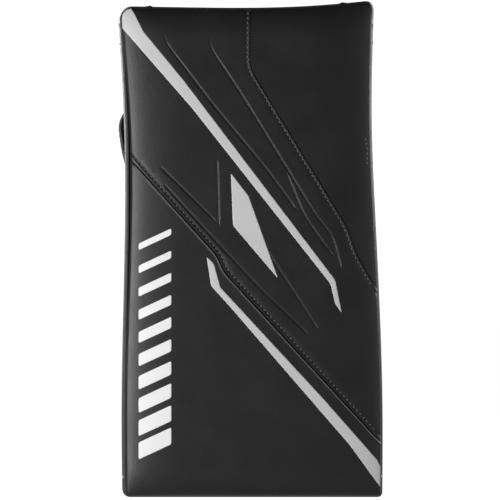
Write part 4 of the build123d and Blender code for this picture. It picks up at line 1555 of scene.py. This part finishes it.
def build_strap():
    """The wrist strap: its sewn base, the tail that peels off, its hook and loop, and its tab."""
    heights = (STRAP_LOW, STRAP_HIGH)
    base = Pad(rounded_box((BASE_LEFT, BASE_RIGHT), heights, 2.0), facing_back(103.0), 2.4, 0.0, roll=1.0)
    piece = base.build("strap_base_webbing", "cuff_flap", WEBBING, "webbing", "strap_base")
    flat = ((BASE_RIGHT - BASE_LEFT) * MM, STRAP_WIDTH * MM)
    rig.sheet(piece, flat=flat, held="laid", rests_on=["cuff_flap_leather"])
    low_left, high_left, high_right, low_right = (10, 111.5), (10, 142.5), (31, 142.5), (31, 111.5)
    box = [low_left, high_left, high_right, low_right, low_left, high_right, low_right, high_left]
    rows = [path_points(box, step=1.5)]
    base.sew("strap_base_stitches", "cuff_flap", "webbing", rows, pitch=SEAM_PITCH, radius=0.35)

    tail_path = path_points([(-41.2, 104.6), (-70.3, 104.6), (-70.3, 52.5)], step=1.2, radius=4.5)
    long = path_length(tail_path)
    loop = rounded_box((0.2, long - 0.2), heights, 2.0)
    tail = Pad(loop, place_left(along_path(tail_path)), 1.2, -1.2, roll=0.9)
    piece = tail.build("strap_tail_webbing", "strap_tail", WEBBING, "webbing", "strap_tail", spacing=3.0)
    flat = ((long - 0.4) * MM, STRAP_WIDTH * MM)
    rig.sheet(piece, flat=flat, held="folded", rests_on=["cuff_side_left"])
    seams = (STRAP_LOW + STRAP_SEAM_INSET, STRAP_HIGH - STRAP_SEAM_INSET)
    edges = [path_points([(3, z), (long - 3, z)], step=2.0) for z in seams]
    tail.sew("strap_tail_stitches", "strap_tail", "webbing", edges, pitch=SEAM_PITCH, radius=0.35)

    hook = Pad(rounded_box((54.2, 88.8), (110.5, 143.5), 2.0), facing_side(-67.4, -1), 1.6, 0.0, roll=0.6)
    hook.build("hook_strip", "strap_tail", HOOK_PLASTIC, "hook_plastic", "hook_patch", spacing=3.0)
    loop = rounded_box((48.5, 90.5), (108.5, 145.5), 3.0)
    loops = Pad(loop, facing_side(-65.2, -1), 1.9, 0.0, roll=0.8, uneven=0.15)
    piece = loops.build("loop_strip", "board", LOOP_PILE, "loop_fabric", "loop_patch", spacing=3.0)
    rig.sheet(piece, flat=(42 * MM, 37 * MM), held="laid", rests_on=["cuff_side_left"])
    ribs = [path_points([(u, STRAP_LOW), (u, STRAP_HIGH)], step=3.0) for u in (44.5, 47.0, 49.5)]
    tab = Pad(
        rounded_box((41.5, 54.0), (107.5, 146.5), 3.0), facing_side(-70.3, -1), 2.2, -1.7, roll=1.4,
        channels=ribs, dip=0.8, dip_width=0.5,
    )
    tab.build("pull_tab_rubber", "strap_tail", TAB_RUBBER, "tab_rubber", "pull_tab", spacing=2.5)


def dress(node, material):
    """Gives a CAD node that stays in view its material."""
    piece = frame["nodes"][node]
    piece.data.materials.clear()
    piece.data.materials.append(material)


build_face()
build_trims()
build_binding()
build_gussets()
build_back()
build_corner_wraps()
for finger_name in FINGERS:
    build_finger(finger_name)
build_palm()
build_thumb()
build_index_guard()
build_cuff()
build_strap()
dress("foam_core", BOARD_FOAM)
dress("stiffener_sheet", STIFFENER_PLASTIC)


# ---------------------------------------------------------------- room, lights and camera

VIEW_ACROSS = 0.389
CAMERA_AWAY = 3.2
FLOOR_HEIGHT = -40.0
WORLD_LIGHT = 0.07
FLOOR_LIGHT = 0.3


def seen_and_lit(tree, seen, lit):
    """A strength that the camera sees as seen, while only lit falls on the object."""
    path = tree.nodes.new("ShaderNodeLightPath")
    return ranged(tree, path.outputs["Is Camera Ray"], lit, seen)


def area_light(name, place, target, size, power):
    """A soft rectangular lamp that points at a target. Places are in the board's frame."""
    lamp = bpy.data.lights.new(name, "AREA")
    lamp.shape = "RECTANGLE"
    lamp.size, lamp.size_y = size
    lamp.energy = power
    holder = bpy.data.objects.new(name, lamp)
    bpy.context.scene.collection.objects.link(holder)
    place, target = Vector(to_row(place)), Vector(to_row(target))
    holder.location = place
    holder.rotation_euler = (target - place).to_track_quat("-Z", "Y").to_euler()
    return holder


def build_room():
    """A white floor under a white world, a large soft key from the left and weaker lamps round about."""
    middle = (-0.8, 0.0, 192.0)
    floor_mesh = bpy.data.meshes.new("floor")
    turns = np.linspace(0, 2 * math.pi, 96, endpoint=False)
    floor_points = [(9000 * math.cos(a), 9000 * math.sin(a), FLOOR_HEIGHT) for a in turns]
    floor_mesh.from_pydata(to_row(floor_points).tolist(), [], [list(range(len(turns)))])
    white, shader = new_material("floor_white", 0.9, specular=0.0)
    shader.inputs["Base Color"].default_value = (0.1, 0.1, 0.1, 1)
    shader.inputs["Emission Color"].default_value = (1, 1, 1, 1)
    strength = seen_and_lit(white.node_tree, 1.0, FLOOR_LIGHT)
    white.node_tree.links.new(strength, shader.inputs["Emission Strength"])
    floor_mesh.materials.append(white)
    floor = bpy.data.objects.new("floor", floor_mesh)
    bpy.context.scene.collection.objects.link(floor)
    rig.stage(floor)

    world = bpy.data.worlds.new("studio")
    world.use_nodes = True
    tree = world.node_tree
    background = tree.nodes["Background"]
    background.inputs["Color"].default_value = (1, 1, 1, 1)
    tree.links.new(seen_and_lit(tree, 1.1, WORLD_LIGHT), background.inputs["Strength"])
    bpy.context.scene.world = world

    area_light("key_left", (-640, -640, 60), middle, (0.35, 0.6), 10.0)
    area_light("fill_right", (1300, -820, 120), middle, (1.4, 1.6), 7.0)
    area_light("back_left", (-1200, 1300, 900), middle, (1.2, 1.2), 40.0)
    area_light("back_right", (1300, 1100, 900), middle, (1.2, 1.2), 24.0)

    camera = bpy.data.cameras.new("camera")
    holder = bpy.data.objects.new("camera", camera)
    bpy.context.scene.collection.objects.link(holder)
    holder.location = Vector(to_row(middle)) - Vector((0, CAMERA_AWAY, 0))
    holder.rotation_euler = (math.radians(90), 0, 0)
    camera.lens_unit = "FOV"
    camera.angle = 2 * math.atan(VIEW_ACROSS / 2 / CAMERA_AWAY)
    bpy.context.scene.camera = holder
    bpy.context.scene.view_settings.view_transform = "Standard"


build_room()

with open("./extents.json", "w") as out:
    boxes = {
        "cad": [[float(v) for v in corner] for corner in cad_box],
        "visual": [[float(v) for v in corner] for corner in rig.bounds()],
    }
    json.dump(boxes, out)
